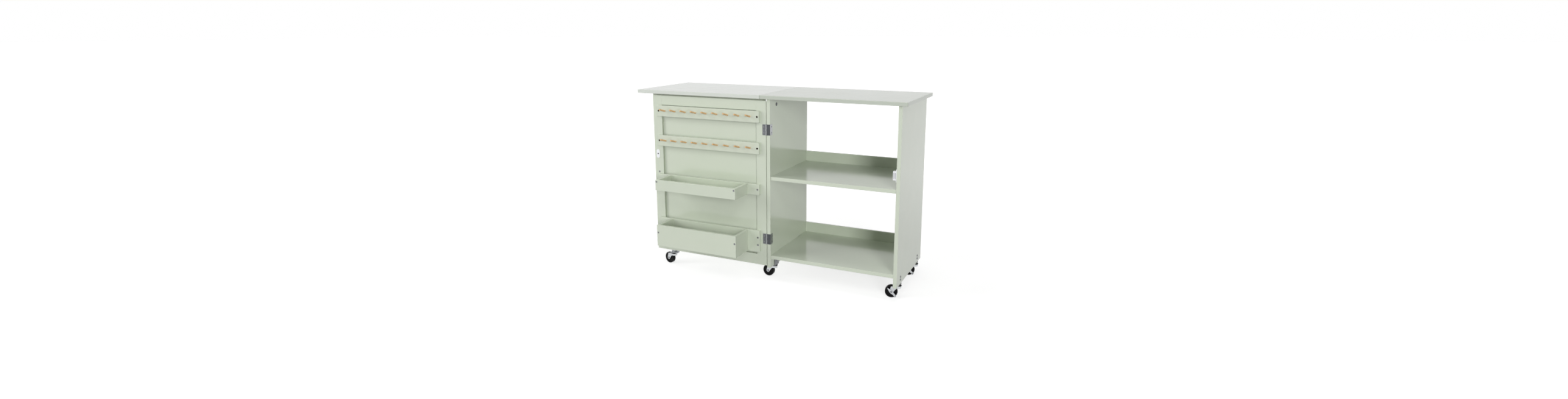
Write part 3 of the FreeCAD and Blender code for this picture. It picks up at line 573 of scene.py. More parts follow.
def pull(bm, edges, change):
    """Extend an open loop of edges, moving each new vertex by a rule. Returns the new edges and faces."""
    made = bmesh.ops.extrude_edge_only(bm, edges=edges)["geom"]
    for vert in (item for item in made if isinstance(item, bmesh.types.BMVert)):
        vert.co = change(vert.co)
    new_edges = [item for item in made if isinstance(item, bmesh.types.BMEdge)]
    new_faces = [item for item in made if isinstance(item, bmesh.types.BMFace)]
    return new_edges, new_faces


def loop(bm, points):
    """Add a closed loop of edges through points."""
    verts = [bm.verts.new(point) for point in points]
    return [bm.edges.new((verts[index - 1], verts[index])) for index in range(len(verts))]


def add_driven_head(bm, spot, way, radius, recess, proud, depth):
    """Add a round metal head with a driver recess, facing along a way."""
    old = set(bm.verts)
    rim = loop(bm, [(x, y, proud) for x, y in circle(radius * HEAD_TOP_SHARE, ROUND_FACETS)])
    hole = loop(bm, [(x, y, proud) for x, y in recess])
    bmesh.ops.triangle_fill(bm, edges=rim + hole, use_beauty=True)
    spread, taper = 1.0 / HEAD_TOP_SHARE, RECESS_FLOOR_SHARE
    skirt, ring = pull(bm, rim, lambda co: Vector((co.x * spread, co.y * spread, proud * HEAD_RIM_SHARE)))
    foot, _ = pull(bm, skirt, lambda co: Vector((co.x, co.y, -proud)))
    bmesh.ops.edgeloop_fill(bm, edges=foot)
    floor, walls = pull(bm, hole, lambda co: Vector((co.x * taper, co.y * taper, proud - depth)))
    bottom = bmesh.ops.edgeloop_fill(bm, edges=floor)["faces"]
    # Painted shade: the recess walls and floor and the rim ring take the finish's dark marked colour, for a
    # deeper recess and the gap round the head
    mark(bm, walls + bottom + ring)
    verts = since(bm, old)
    bmesh.ops.recalc_face_normals(bm, faces=faces_of(verts))
    bmesh.ops.transform(bm, matrix=along(spot, way), verts=verts)


def cross_outline(arm, half_width):
    """Return the outline of a driver cross."""
    a, w = arm, half_width
    return [
        (a, -w), (a, w), (w, w), (w, a), (-w, a), (-w, w),
        (-a, w), (-a, -w), (-w, -w), (-w, -a), (w, -a), (w, -w),
    ]


def add_screw(bm, spot, way, radius):
    """Add the head of a countersunk screw."""
    cross = cross_outline(radius * CROSS_ARM_SHARE, radius * CROSS_HALF_WIDTH_SHARE)
    add_driven_head(bm, spot, way, radius, cross, HEAD_PROUD, CROSS_DEPTH)


def add_barrel(bm, spot, way, radius, height, chamfer):
    """Add a short round bar with chamfered ends."""
    outline = [
        (0.0, 0.0), (radius - chamfer, 0.0), (radius, chamfer), (radius, height - chamfer),
        (radius - chamfer, height), (0.0, height),
    ]
    old = set(bm.verts)
    add_turned(bm, outline, along(spot, way))
    # The whole bar is marked: on hinge knuckles it takes painted highlight
    mark(bm, faces_of(since(bm, old)))


def add_dome(bm, spot, way, radius, height):
    """Add a domed head that stands on a face."""
    outline = [(radius * across, height * up) for across, up in DOME_SHARES]
    add_turned(bm, outline, along(spot, way))


def keep_piece(bm, name, finish, body, slot, *nodes):
    """Turn a mesh into a finished piece that rides on a body and stands for CAD nodes."""
    mesh = bpy.data.meshes.new(name)
    bm.to_mesh(mesh)
    bm.free()
    mesh.shade_smooth()
    mesh.set_sharp_from_angle(angle=SHARP)
    mesh.materials.append(finish)
    piece = bpy.data.objects.new(name, mesh)
    bpy.context.scene.collection.objects.link(piece)
    normals = piece.modifiers.new("Even normals", "WEIGHTED_NORMAL")
    normals.keep_sharp = True
    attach(piece, body)
    if nodes:
        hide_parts(*nodes)
    return piece


# Finishes


def put(tree, kind, inputs=None, **settings):
    """Add a node, set its settings and fill or link its inputs."""
    made = tree.nodes.new(kind)
    for key, value in settings.items():
        setattr(made, key, value)
    for key, value in (inputs or {}).items():
        socket = made.inputs[key]
        if isinstance(value, bpy.types.NodeSocket):
            tree.links.new(value, socket)
        else:
            socket.default_value = value
    return made


def per(size):
    """Return the texture scale whose features are about a size."""
    return 1.0 / size


def rgba(value):
    """Return a colour with full alpha."""
    return (*value, 1.0)


def start_finish(name):
    """Start a material and return it with its tree and object coordinates."""
    material = bpy.data.materials.new(name)
    material.use_nodes = True
    material.node_tree.nodes.clear()
    tree = material.node_tree
    return material, tree, put(tree, "ShaderNodeTexCoord").outputs["Object"]


def end_finish(tree, shader):
    """Link a shader to the material's output."""
    put(tree, "ShaderNodeOutputMaterial", {"Surface": shader.outputs["BSDF"]})


def lacquer(name, base, pale, smooth, rough, peel_strength, ior):
    """Sprayed satin lacquer on MDF: an even colour with a faint mottle and fine orange peel.

    It is paler on the sanded edges, where it is rubbed thin and painted highlight lies, and darker on the
    walls of a recess as painted shade.
    """
    made = bpy.data.materials.get(name)
    if made:
        return made
    paint = bpy.context.scene.table_paint
    made, tree, place = start_finish(name)
    mottle = put(
        tree, "ShaderNodeTexNoise",
        {"Vector": place, "Scale": per(90 * MM), "Detail": 4.0, "Roughness": 0.6},
    )
    # Real orange peel is under 1 mm; it is drawn at 4 mm so that it shows at the render's scale.
    peel = put(
        tree, "ShaderNodeTexNoise",
        {"Vector": place, "Scale": per(4 * MM), "Detail": 2.0, "Roughness": 0.5},
    )
    tone = put(
        tree, "ShaderNodeMix",
        {MIX_FACTOR: mottle.outputs["Fac"], MIX_A: rgba(base), MIX_B: rgba(pale)}, data_type="RGBA",
    )
    # Paler edges: the lacquer rubbed thin in patches, together with painted highlight along the eased faces
    edge_rubbing_and_highlight = put(tree, "ShaderNodeAttribute", attribute_name=EDGE_LAYER)
    patchy = put(tree, "ShaderNodeTexNoise", {"Vector": place, "Scale": per(18 * MM), "Detail": 3.0})
    patchy_rubbing_and_highlight = put(
        tree, "ShaderNodeMath",
        {0: edge_rubbing_and_highlight.outputs["Fac"], 1: patchy.outputs["Fac"]}, operation="MULTIPLY",
    )
    eased = put(
        tree, "ShaderNodeMix",
        {MIX_FACTOR: patchy_rubbing_and_highlight.outputs[0], MIX_A: tone.outputs[MIX_COLOUR], MIX_B: rgba(paint.sage_edge_rubbed_and_highlight)},
        data_type="RGBA",
    )
    # Painted shade on the walls of a recess
    wall = put(tree, "ShaderNodeAttribute", attribute_name=RECESS_LAYER)
    final = put(
        tree, "ShaderNodeMix",
        {MIX_FACTOR: wall.outputs["Fac"], MIX_A: eased.outputs[MIX_COLOUR], MIX_B: rgba(paint.sage_recess_shade)},
        data_type="RGBA",
    )
    sheen = put(
        tree, "ShaderNodeMapRange",
        {"Value": mottle.outputs["Fac"], "From Min": 0.3, "From Max": 0.7, "To Min": smooth, "To Max": rough},
    )
    bump = put(
        tree, "ShaderNodeBump",
        {"Strength": peel_strength, "Distance": 0.1 * MM, "Height": peel.outputs["Fac"]},
    )
    shader = put(
        tree, "ShaderNodeBsdfPrincipled",
        {
            "Base Color": final.outputs[MIX_COLOUR], "Roughness": sheen.outputs["Result"], "IOR": ior,
            "Normal": bump.outputs["Normal"],
        },
    )
    end_finish(tree, shader)
    return made


def sage_lacquer():
    """Return the satin sage lacquer of the boards."""
    paint = bpy.context.scene.table_paint
    return lacquer(
        "Sage satin lacquer on MDF", paint.sage, paint.sage_pale,
        smooth=0.13, rough=0.18, peel_strength=0.03, ior=1.58,
    )


def top_lacquer():
    """Return the smoother lacquer of the main top."""
    paint = bpy.context.scene.table_paint
    return lacquer(
        "Sage polished lacquer on the main top", paint.top, paint.top_pale,
        smooth=0.14, rough=0.19, peel_strength=0.015, ior=1.42,
    )


def leaf_lacquer():
    """Return the lacquer of the leaf, a little paler than the main top."""
    paint = bpy.context.scene.table_paint
    return lacquer(
        "Pale sage polished lacquer on the leaf", paint.leaf, paint.leaf_pale,
        smooth=0.14, rough=0.19, peel_strength=0.015, ior=1.42,
    )


def beech():
    """Turned beech dowel: warm tan with fine dark grain along the peg, left bare."""
    name = "Bare turned beech"
    made = bpy.data.materials.get(name)
    if made:
        return made
    wood = bpy.context.scene.table_hardware
    made, tree, place = start_finish(name)
    # Turned so that the second axis runs along the pegs, then drawn out along it.
    turned = put(
        tree, "ShaderNodeMapping",
        {"Vector": place, "Rotation": (PEG_TILT, 0.0, 0.0), "Scale": (1.0, 0.06, 1.0)},
    )
    grain = put(
        tree, "ShaderNodeTexNoise",
        {
            "Vector": turned.outputs["Vector"], "Scale": per(2.2 * MM), "Detail": 4.0, "Roughness": 0.65,
            "Distortion": 0.4,
        },
    )
    share = put(
        tree, "ShaderNodeMapRange",
        {"Value": grain.outputs["Fac"], "From Min": 0.35, "From Max": 0.68, "To Min": 0.0, "To Max": 1.0},
    )
    tone = put(
        tree, "ShaderNodeMix",
        {MIX_FACTOR: share.outputs["Result"], MIX_A: rgba(wood.beech), MIX_B: rgba(wood.beech_grain)},
        data_type="RGBA",
    )
    bump = put(
        tree, "ShaderNodeBump",
        {"Strength": 0.25, "Distance": 0.1 * MM, "Height": grain.outputs["Fac"]},
    )
    shader = put(
        tree, "ShaderNodeBsdfPrincipled",
        {
            "Base Color": tone.outputs[MIX_COLOUR], "Roughness": 0.55, "IOR": 1.5,
            "Normal": bump.outputs["Normal"],
        },
    )
    end_finish(tree, shader)
    return made


def plated(name, bright, dull, smooth, rough, patch, marked=None):
    """Plated steel: bright with duller patches, and another colour on marked faces where one is given."""
    made = bpy.data.materials.get(name)
    if made:
        return made
    made, tree, place = start_finish(name)
    cloud = put(
        tree, "ShaderNodeTexNoise",
        {"Vector": place, "Scale": per(patch), "Detail": 3.0, "Roughness": 0.6},
    )
    tone = put(
        tree, "ShaderNodeMix",
        {MIX_FACTOR: cloud.outputs["Fac"], MIX_A: rgba(bright), MIX_B: rgba(dull)}, data_type="RGBA",
    )
    if marked is not None:
        spot = put(tree, "ShaderNodeAttribute", attribute_name=EDGE_LAYER)
        tone = put(
            tree, "ShaderNodeMix",
            {MIX_FACTOR: spot.outputs["Fac"], MIX_A: tone.outputs[MIX_COLOUR], MIX_B: rgba(marked)},
            data_type="RGBA",
        )
    sheen = put(
        tree, "ShaderNodeMapRange",
        {"Value": cloud.outputs["Fac"], "From Min": 0.3, "From Max": 0.7, "To Min": smooth, "To Max": rough},
    )
    # Plating pits are far finer than this; 1.5 mm is the least that shows.
    pits = put(tree, "ShaderNodeTexNoise", {"Vector": place, "Scale": per(1.5 * MM), "Detail": 2.0})
    bump = put(
        tree, "ShaderNodeBump",
        {"Strength": 0.08, "Distance": 0.1 * MM, "Height": pits.outputs["Fac"]},
    )
    shader = put(
        tree, "ShaderNodeBsdfPrincipled",
        {
            "Base Color": tone.outputs[MIX_COLOUR], "Metallic": 1.0, "Roughness": sheen.outputs["Result"],
            "Normal": bump.outputs["Normal"],
        },
    )
    end_finish(tree, shader)
    return made


def caster_zinc():
    """Return the bright zinc plating of the casters."""
    metal = bpy.context.scene.table_hardware
    return plated(
        "Bright zinc-plated steel", metal.zinc, metal.zinc_dull, smooth=0.16, rough=0.3, patch=7 * MM
    )


def shaded_zinc():
    """Return the zinc plating of the bolt heads and the cabinet's brackets, darkened as painted shade."""
    metal = bpy.context.scene.table_hardware
    return plated(
        "Dulled zinc-plated steel", metal.bolt, metal.hinge_dull, smooth=0.18, rough=0.34, patch=7 * MM
    )


def shaded_race_steel():
    """Return the dark steel of the swivel races, darkened as painted shade of the gap under the bracket."""
    metal = bpy.context.scene.table_hardware
    return plated("Greased dark steel", metal.race, metal.grime_and_recess_shade, smooth=0.3, rough=0.45, patch=5 * MM)


def hinge_zinc():
    """Return the duller zinc plating of the hinges, with painted highlight on their edges and knuckles."""
    metal = bpy.context.scene.table_hardware
    return plated(
        "Dull zinc-plated hinge steel", metal.hinge, metal.hinge_dull,
        smooth=0.26, rough=0.4, patch=9 * MM, marked=metal.hinge_highlight,
    )


def shaded_hinge_zinc():
    """Return the plating of the hinge leaves on the panel, darkened as painted dark reflection, with painted
    highlight on its edges and its inner side.
    """
    metal = bpy.context.scene.table_hardware
    return plated(
        "Darkened zinc-plated hinge steel", metal.dark_zinc_and_hinge_shade, metal.hinge_dull,
        smooth=0.26, rough=0.4, patch=9 * MM, marked=metal.hinge_highlight,
    )


def screw_zinc():
    """Return the plain zinc of the screws, dark in their crosses and rims as painted shade."""
    metal = bpy.context.scene.table_hardware
    return plated(
        "Zinc-plated screw steel", metal.screw, metal.hinge,
        smooth=0.24, rough=0.36, patch=3 * MM, marked=metal.grime_and_recess_shade,
    )


def cast_zinc():
    """Return the dull die-cast zinc of the cam locks, dark in their slots as painted shade."""
    metal = bpy.context.scene.table_hardware
    return plated(
        "Dull die-cast zinc", metal.hinge_dull, metal.dark_zinc_and_hinge_shade,
        smooth=0.3, rough=0.45, patch=4 * MM, marked=metal.grime_and_recess_shade,
    )


def dark_screw_steel():
    """Return the dark brown steel of the peg rails' screws, dark in their crosses as painted shade."""
    metal = bpy.context.scene.table_hardware
    return plated(
        "Blackened screw steel", metal.dark_screw, metal.grime_and_recess_shade,
        smooth=0.35, rough=0.5, patch=3 * MM, marked=metal.grime_and_recess_shade,
    )


def knob_nickel():
    """Return the brushed nickel of the knob."""
    metal = bpy.context.scene.table_hardware
    return plated("Brushed nickel", metal.nickel, metal.zinc_dull, smooth=0.24, rough=0.36, patch=4 * MM)


def moulded(name, base, scuffed, smooth, rough, grain, shine):
    """Moulded plastic or hard rubber: a plain colour with a fine moulded grain and faint scuffs."""
    made = bpy.data.materials.get(name)
    if made:
        return made
    made, tree, place = start_finish(name)
    scuff = put(
        tree, "ShaderNodeTexNoise",
        {"Vector": place, "Scale": per(12 * MM), "Detail": 5.0, "Roughness": 0.65},
    )
    share = put(
        tree, "ShaderNodeMapRange",
        {"Value": scuff.outputs["Fac"], "From Min": 0.48, "From Max": 0.78, "To Min": 0.0, "To Max": 1.0},
    )
    tone = put(
        tree, "ShaderNodeMix",
        {MIX_FACTOR: share.outputs["Result"], MIX_A: rgba(base), MIX_B: rgba(scuffed)}, data_type="RGBA",
    )
    sheen = put(
        tree, "ShaderNodeMapRange",
        {"Value": scuff.outputs["Fac"], "From Min": 0.3, "From Max": 0.75, "To Min": smooth, "To Max": rough},
    )
    skin = put(tree, "ShaderNodeTexNoise", {"Vector": place, "Scale": per(grain), "Detail": 2.0})
    bump = put(
        tree, "ShaderNodeBump",
        {"Strength": 0.1, "Distance": 0.1 * MM, "Height": skin.outputs["Fac"]},
    )
    shader = put(
        tree, "ShaderNodeBsdfPrincipled",
        {
            "Base Color": tone.outputs[MIX_COLOUR], "Roughness": sheen.outputs["Result"], "IOR": 1.49,
            "Specular IOR Level": shine, "Normal": bump.outputs["Normal"],
        },
    )
    end_finish(tree, shader)
    return made


def black_tyre():
    """Return the glossy black polypropylene of the wheels."""
    colours = bpy.context.scene.table_hardware
    return moulded(
        "Black moulded polypropylene", colours.tyre, colours.tyre_scuff,
        smooth=0.12, rough=0.22, grain=2 * MM, shine=0.14,
    )


def white_plastic():
    """Return the white ABS of the catch and strike plate."""
    colours = bpy.context.scene.table_hardware
    return moulded(
        "White moulded ABS", colours.plastic, colours.plastic,
        smooth=0.3, rough=0.42, grain=1.5 * MM, shine=0.5,
    )


# Pieces


def keep_board(node, body, width, steps, fall=0.0, inward=None):
    """Make one painted board in the place of a CAD node; the face that looks inward is a recess wall,
    darkened as painted shade.
    """
    bm = fresh()
    low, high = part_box(node)
    add_board(bm, low, high, width, steps, fall)
    if inward is not None:
        mark(bm, faces_along(bm, inward), RECESS_LAYER)
    keep_piece(bm, node + "_board", sage_lacquer(), body, "sage_paint", node)


class TABLE_OT_cabinet_boards(bpy.types.Operator):
    """Make the painted side panels, shelves and back rails"""

    bl_idname = "cutting_table.cabinet_boards"
    bl_label = "Cabinet boards"

    def execute(self, context):
        boards = context.scene.table_boards
        nodes = (
            "left_side_panel", "right_side_panel", "middle_shelf", "bottom_shelf",
            "middle_back_rail", "bottom_back_rail",
        )
        for node in nodes:
            keep_board(node, "cabinet", boards.edge_ease, boards.ease_steps)
        return {"FINISHED"}


class TABLE_OT_tops(bpy.types.Operator):
    """Make the main top, the drop leaf and the batten under the leaf"""

    bl_idname = "cutting_table.tops"
    bl_label = "Tops"

    def execute(self, context):
        boards = context.scene.table_boards
        tops = (("main_top", "cabinet", top_lacquer()), ("drop_leaf", "leaf", leaf_lacquer()))
        for node, body, finish in tops:
            bm = fresh()
            low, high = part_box(node)
            outline = rounded_rectangle(low.x, high.x, low.y, high.y, boards.top_corner, TOP_CORNER_STEPS)
            thickness = high.z - low.z
            add_eased_plate(bm, outline, thickness, boards.top_ease, boards.ease_steps, lifted(low.z))
            keep_piece(bm, node + "_board", finish, body, "top_paint", node)
        keep_board("leaf_batten", "leaf", boards.edge_ease, boards.ease_steps)
        return {"FINISHED"}


class TABLE_OT_door(bpy.types.Operator):
    """Make the door's stiles, rails and recessed panel"""

    bl_idname = "cutting_table.door"
    bl_label = "Door"

    def execute(self, context):
        boards = context.scene.table_boards
        frame_boards = (
            ("door_free_stile", DOOR_TOP_FALL, RIGHT),
            ("door_hinge_stile", DOOR_TOP_FALL, LEFT),
            ("door_top_rail", DOOR_TOP_FALL, DOWN),
            ("door_bottom_rail", 0.0, UP),
        )
        for node, fall, inward in frame_boards:
            keep_board(node, "door", boards.edge_ease, boards.ease_steps, fall, inward)
        keep_board("door_panel", "door", boards.edge_ease, boards.ease_steps)
        return {"FINISHED"}


class TABLE_OT_fittings(bpy.types.Operator):
    """Make the peg rails and the two bins on the door"""

    bl_idname = "cutting_table.fittings"
    bl_label = "Peg rails and bins"

    def execute(self, context):
        boards = context.scene.table_boards
        nodes = list(RAILS)
        for bin_name in ("upper_bin", "lower_bin"):
            nodes += [bin_name + "_" + part for part in ("back", "front", "left_end", "right_end", "bottom")]
        for node in nodes:
            keep_board(node, "door", boards.fitting_ease, boards.ease_steps)
        return {"FINISHED"}


class TABLE_OT_pegs(bpy.types.Operator):
    """Make the turned pegs of both rails"""

    bl_idname = "cutting_table.pegs"
    bl_label = "Pegs"

    def execute(self, context):
        bm = fresh()
        way = Vector((0.0, -math.cos(PEG_TILT), math.sin(PEG_TILT)))
        total = PEG_BITE + PEG_REACH
        outline = [(0.0, 0.0), (PEG_RADIUS, 0.0), (PEG_RADIUS, total - PEG_TIP)]
        tip = arc(0, 0, PEG_TIP, 0, 90, BEND_STEPS)[1:]
        outline += [(PEG_RADIUS - PEG_TIP + x, total - PEG_TIP + y) for x, y in tip]
        outline.append((0.0, total))
        for rail in RAILS:
            low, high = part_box(rail)
            pitch = (high.x - low.x - PEG_END_INSET * 2) / (PEG_COUNT - 1)
            for index in range(PEG_COUNT):
                face = Vector((low.x + PEG_END_INSET + pitch * index, low.y, (low.z + high.z) / 2))
                add_turned(bm, outline, along(face - way * PEG_BITE, way))
        keep_piece(bm, "turned_pegs", beech(), "door", "peg_wood", "pegs")
        return {"FINISHED"}


class TABLE_OT_screws(bpy.types.Operator):
    """Make the screw heads of the peg rails, bins, hinges and catch, and the cam locks"""

    bl_idname = "cutting_table.screws"
    bl_label = "Screws and cam locks"

    def execute(self, context):
        self.keep_rail_screws()
        self.keep_bin_screws()
        self.keep_door_hinge_screws()
        self.keep_cabinet_screws()
        self.keep_leaf_screws()
        self.keep_cam_locks()
        return {"FINISHED"}

    def keep_rail_screws(self):
        """Make the dark screws of the peg rails and the strike plate."""
        bm = fresh()
        for rail in RAILS:
            low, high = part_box(rail)
            for x in inset_pair(low.x, high.x, BACK_SCREW_INSET):
                add_screw(bm, Vector((x, low.y, (low.z + high.z) / 2)), FRONT, BIG_HEAD)
        low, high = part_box("strike_plate")
        middle = (low + high) / 2
        add_screw(bm, Vector((middle.x, low.y, middle.z)), FRONT, SMALL_HEAD)
        keep_piece(bm, "peg_rail_and_strike_screws", dark_screw_steel(), "door", "screw_steel", "door_screws")

    def keep_bin_screws(self):
        """Make the plain screws of the bins and of the knob."""
        bm = fresh()
        for bin_name, pitch, drop in BIN_SCREWS:
            low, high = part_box(bin_name + "_back")
            for z in sorted(set(pair_about((low.z + high.z) / 2, pitch))):
                for x in inset_pair(low.x, high.x, BACK_SCREW_INSET):
                    add_screw(bm, Vector((x, low.y, z)), FRONT, BIG_HEAD)
            low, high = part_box(bin_name + "_front")
            for x in inset_pair(low.x, high.x, BIN_BOARD / 2):
                add_screw(bm, Vector((x, low.y, high.z - drop)), FRONT, BIG_HEAD)
        low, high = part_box("knob")
        middle = (low + high) / 2
        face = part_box("door_free_stile")[0].y
        add_screw(bm, Vector((middle.x, face, middle.z)), FRONT, BIG_HEAD)
        keep_piece(bm, "bin_screws", screw_zinc(), "door", "screw_steel")

    def keep_door_hinge_screws(self):
        """Make the screws of the hinge leaves on the door."""
        bm = fresh()
        low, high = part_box("door_hinge_moving_leaves")
        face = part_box("door_free_stile")[0].y - HINGE_PLATE
        for middle in inset_pair(low.z, high.z, HINGE_TALL / 2):
            for z in pair_about(middle, HINGE_SCREW_PITCH):
                add_screw(bm, Vector((low.x + HINGE_SCREW_INSET, face, z)), FRONT, SMALL_HEAD)
        keep_piece(bm, "door_hinge_screws", screw_zinc(), "door", "screw_steel", "door_small_screws")

    def keep_cabinet_screws(self):
        """Make the cabinet's screws: those of the door hinges, the catch and the leaf hinges."""
        bm = fresh()
        low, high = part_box("door_hinge_fixed_leaves")
        for middle in inset_pair(low.z, high.z, HINGE_TALL / 2):
            for z in pair_about(middle, HINGE_SCREW_PITCH):
                add_screw(bm, Vector((high.x, high.y - HINGE_SCREW_INSET, z)), RIGHT, SMALL_HEAD)
        low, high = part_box("magnetic_catch_body")
        for z in inset_pair(low.z, high.z, CATCH_SCREW_INSET):
            spot = Vector((high.x - CATCH_EAR_THICK, (low.y + high.y) / 2, z))
            add_screw(bm, spot, LEFT, SMALL_HEAD)
        low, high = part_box("leaf_hinge_fixed_leaves")
        self.add_leaf_hinge_screws(bm, high.x - LEAF_SCREW_INSET, low.y, high.y)
        keep_piece(bm, "cabinet_small_screws", screw_zinc(), "cabinet", "screw_steel", "cabinet_screws")

    def keep_leaf_screws(self):
        """Make the leaf's screws, in its halves of the leaf hinges."""
        bm = fresh()
        low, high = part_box("leaf_hinge_moving_leaves")
        self.add_leaf_hinge_screws(bm, low.x + LEAF_SCREW_INSET, low.y, high.y)
        keep_piece(bm, "leaf_hinge_screws", screw_zinc(), "leaf", "screw_steel", "leaf_screws")

    def add_leaf_hinge_screws(self, bm, x, near, far):
        """Add the screws of one half of the leaf hinges."""
        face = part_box("main_top")[0].z - LEAF_PLATE
        for middle in inset_pair(near, far, LEAF_HINGE_LONG / 2):
            for y in pair_about(middle, LEAF_SCREW_PITCH):
                add_screw(bm, Vector((x, y, face)), DOWN, SMALL_HEAD)

    def keep_cam_locks(self):
        """Make the slotted discs of the cam locks in both side panels."""
        bm = fresh()
        low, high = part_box("cam_locks")
        left_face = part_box("left_side_panel")[1].x
        right_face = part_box("right_side_panel")[0].x
        reach, side = CAM_SLOT_HALF_LENGTH, CAM_SLOT_HALF_WIDTH
        slot = rounded_rectangle(-reach, reach, -side, side, CAM_SLOT_CORNER, THIN_STEPS)
        for y in inset_pair(low.y, high.y, CAM_RADIUS):
            for x, way in ((left_face, RIGHT), (right_face, LEFT)):
                spot = Vector((x, y, (low.z + high.z) / 2))
                add_driven_head(bm, spot, way, CAM_RADIUS, slot, HEAD_PROUD, CROSS_DEPTH)
        keep_piece(bm, "cam_lock_discs", cast_zinc(), "cabinet", "cam_zinc", "cam_locks")


def knuckles(start, total):
    """List a hinge's knuckles: the two ends of each, and whether it turns with the moving half."""
    pitch = total / KNUCKLES
    inset = KNUCKLE_GAP / 2
    return [
        (start + index * pitch + inset, start + (index + 1) * pitch - inset, index % 2 == 1)
        for index in range(KNUCKLES)
    ]


class TABLE_OT_door_hinges(bpy.types.Operator):
    """Make the two door hinges: leaves, knuckles and pins"""

    bl_idname = "cutting_table.door_hinges"
    bl_label = "Door hinges"

    def execute(self, context):
        pin_low, pin_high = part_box("door_hinge_pins")
        pin = (pin_low + pin_high) / 2
        moving_low, moving_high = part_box("door_hinge_moving_leaves")
        right, back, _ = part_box("door_hinge_fixed_leaves")[1]
        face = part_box("door_hinge_stile")[0].y
        front = face - HINGE_PLATE
        wrap = [(pin.x + KNUCKLE_REACH, face), (pin.x + KNUCKLE_REACH, front)]
        wrap += arc(right - HINGE_BEND, front + HINGE_BEND, HINGE_BEND, -90, 0, BEND_STEPS)
        wrap += [(right, back), (right - HINGE_PLATE, back), (right - HINGE_PLATE, face)]
        moving, fixed, pins = fresh(), fresh(), fresh()
        on_door = facing_front((0.0, face, 0.0))
        for base in (moving_low.z, moving_high.z - HINGE_TALL):
            top = base + HINGE_TALL
            leaf = rounded_rectangle(moving_low.x, pin.x - KNUCKLE_REACH, base, top, HINGE_CORNER)
            add_eased_plate(moving, leaf, HINGE_PLATE, HINGE_EASE, THIN_STEPS, on_door)
            add_eased_plate(fixed, wrap, HINGE_TALL, HINGE_EASE, THIN_STEPS, lifted(base))
            for low, high, moves in knuckles(base, HINGE_TALL):
                bm, side = (moving, -1.0) if moves else (fixed, 1.0)
                spot = Vector((pin.x, pin.y, low))
                add_barrel(bm, spot, UP, KNUCKLE_RADIUS, high - low, KNUCKLE_CHAMFER)
                start = pin.x + side * KNUCKLE_RADIUS * TONGUE_START_SHARE
                end = pin.x + side * (KNUCKLE_REACH + TONGUE_RUN)
                near, far = sorted((start, end))
                tongue = Vector((near, front, low)), Vector((far, face, high))
                add_board(bm, *tongue, KNUCKLE_CHAMFER, THIN_STEPS)
            add_dome(pins, Vector((pin.x, pin.y, top)), UP, PIN_HEAD_RADIUS, PIN_HEAD_HEIGHT)
            add_dome(pins, Vector((pin.x, pin.y, base)), DOWN, PIN_HEAD_RADIUS, PIN_HEAD_HEIGHT)
        # Painted highlight on the faces of the panel leaves that look right
        mark(fixed, faces_along(fixed, RIGHT))
        kept = (
            (moving, "door_hinge_door_leaves", hinge_zinc(), "door", "door_hinge_moving_leaves"),
            (fixed, "door_hinge_panel_leaves", shaded_hinge_zinc(), "cabinet", "door_hinge_fixed_leaves"),
            (pins, "door_hinge_pin_heads", hinge_zinc(), "cabinet", "door_hinge_pins"),
        )
        for bm, name, finish, body, node in kept:
            keep_piece(bm, name, finish, body, "hinge_zinc", node)
        return {"FINISHED"}


class TABLE_OT_leaf_hinges(bpy.types.Operator):
    """Make the two hinges under the seam of the tops"""

    bl_idname = "cutting_table.leaf_hinges"
    bl_label = "Leaf hinges"

    def execute(self, context):
        pin_low, pin_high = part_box("leaf_hinge_pins")
        pin = (pin_low + pin_high) / 2
        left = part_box("leaf_hinge_moving_leaves")[0].x
        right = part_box("leaf_hinge_fixed_leaves")[1].x
        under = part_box("main_top")[0].z
        bottom = under - LEAF_PLATE
        moving, fixed, pins = fresh(), fresh(), fresh()
        halves = (
            (moving, left, pin.x - LEAF_KNUCKLE_REACH),
            (fixed, pin.x + LEAF_KNUCKLE_REACH, right),
        )
        for near in (pin_low.y, pin_high.y - LEAF_HINGE_LONG):
            far = near + LEAF_HINGE_LONG
            for bm, x_low, x_high in halves:
                half = rounded_rectangle(x_low, x_high, near, far, LEAF_HINGE_CORNER)
                add_eased_plate(bm, half, LEAF_PLATE, LEAF_HINGE_EASE, THIN_STEPS, lifted(bottom))
            for low, high, moves in knuckles(near, LEAF_HINGE_LONG):
                bm, side = (moving, -1.0) if moves else (fixed, 1.0)
                spot = Vector((pin.x, low, pin.z))
                add_barrel(bm, spot, BACK, LEAF_KNUCKLE_RADIUS, high - low, LEAF_KNUCKLE_CHAMFER)
                start = pin.x + side * LEAF_TONGUE_START
                end = pin.x + side * (LEAF_KNUCKLE_REACH + TONGUE_RUN)
                x_low, x_high = sorted((start, end))
                tongue = Vector((x_low, low, bottom)), Vector((x_high, high, under))
                add_board(bm, *tongue, LEAF_KNUCKLE_CHAMFER, THIN_STEPS)
            for y, way in ((near, FRONT), (far, BACK)):
                spot = Vector((pin.x, y, pin.z))
                add_dome(pins, spot, way, LEAF_PIN_HEAD_RADIUS, LEAF_PIN_HEAD_HEIGHT)
        kept = (
            (moving, "leaf_hinge_leaf_halves", "leaf", "leaf_hinge_moving_leaves"),
            (fixed, "leaf_hinge_top_halves", "cabinet", "leaf_hinge_fixed_leaves"),
            (pins, "leaf_hinge_pin_heads", "cabinet", "leaf_hinge_pins"),
        )
        for bm, name, body, node in kept:
            keep_piece(bm, name, hinge_zinc(), body, "hinge_zinc", node)
        return {"FINISHED"}


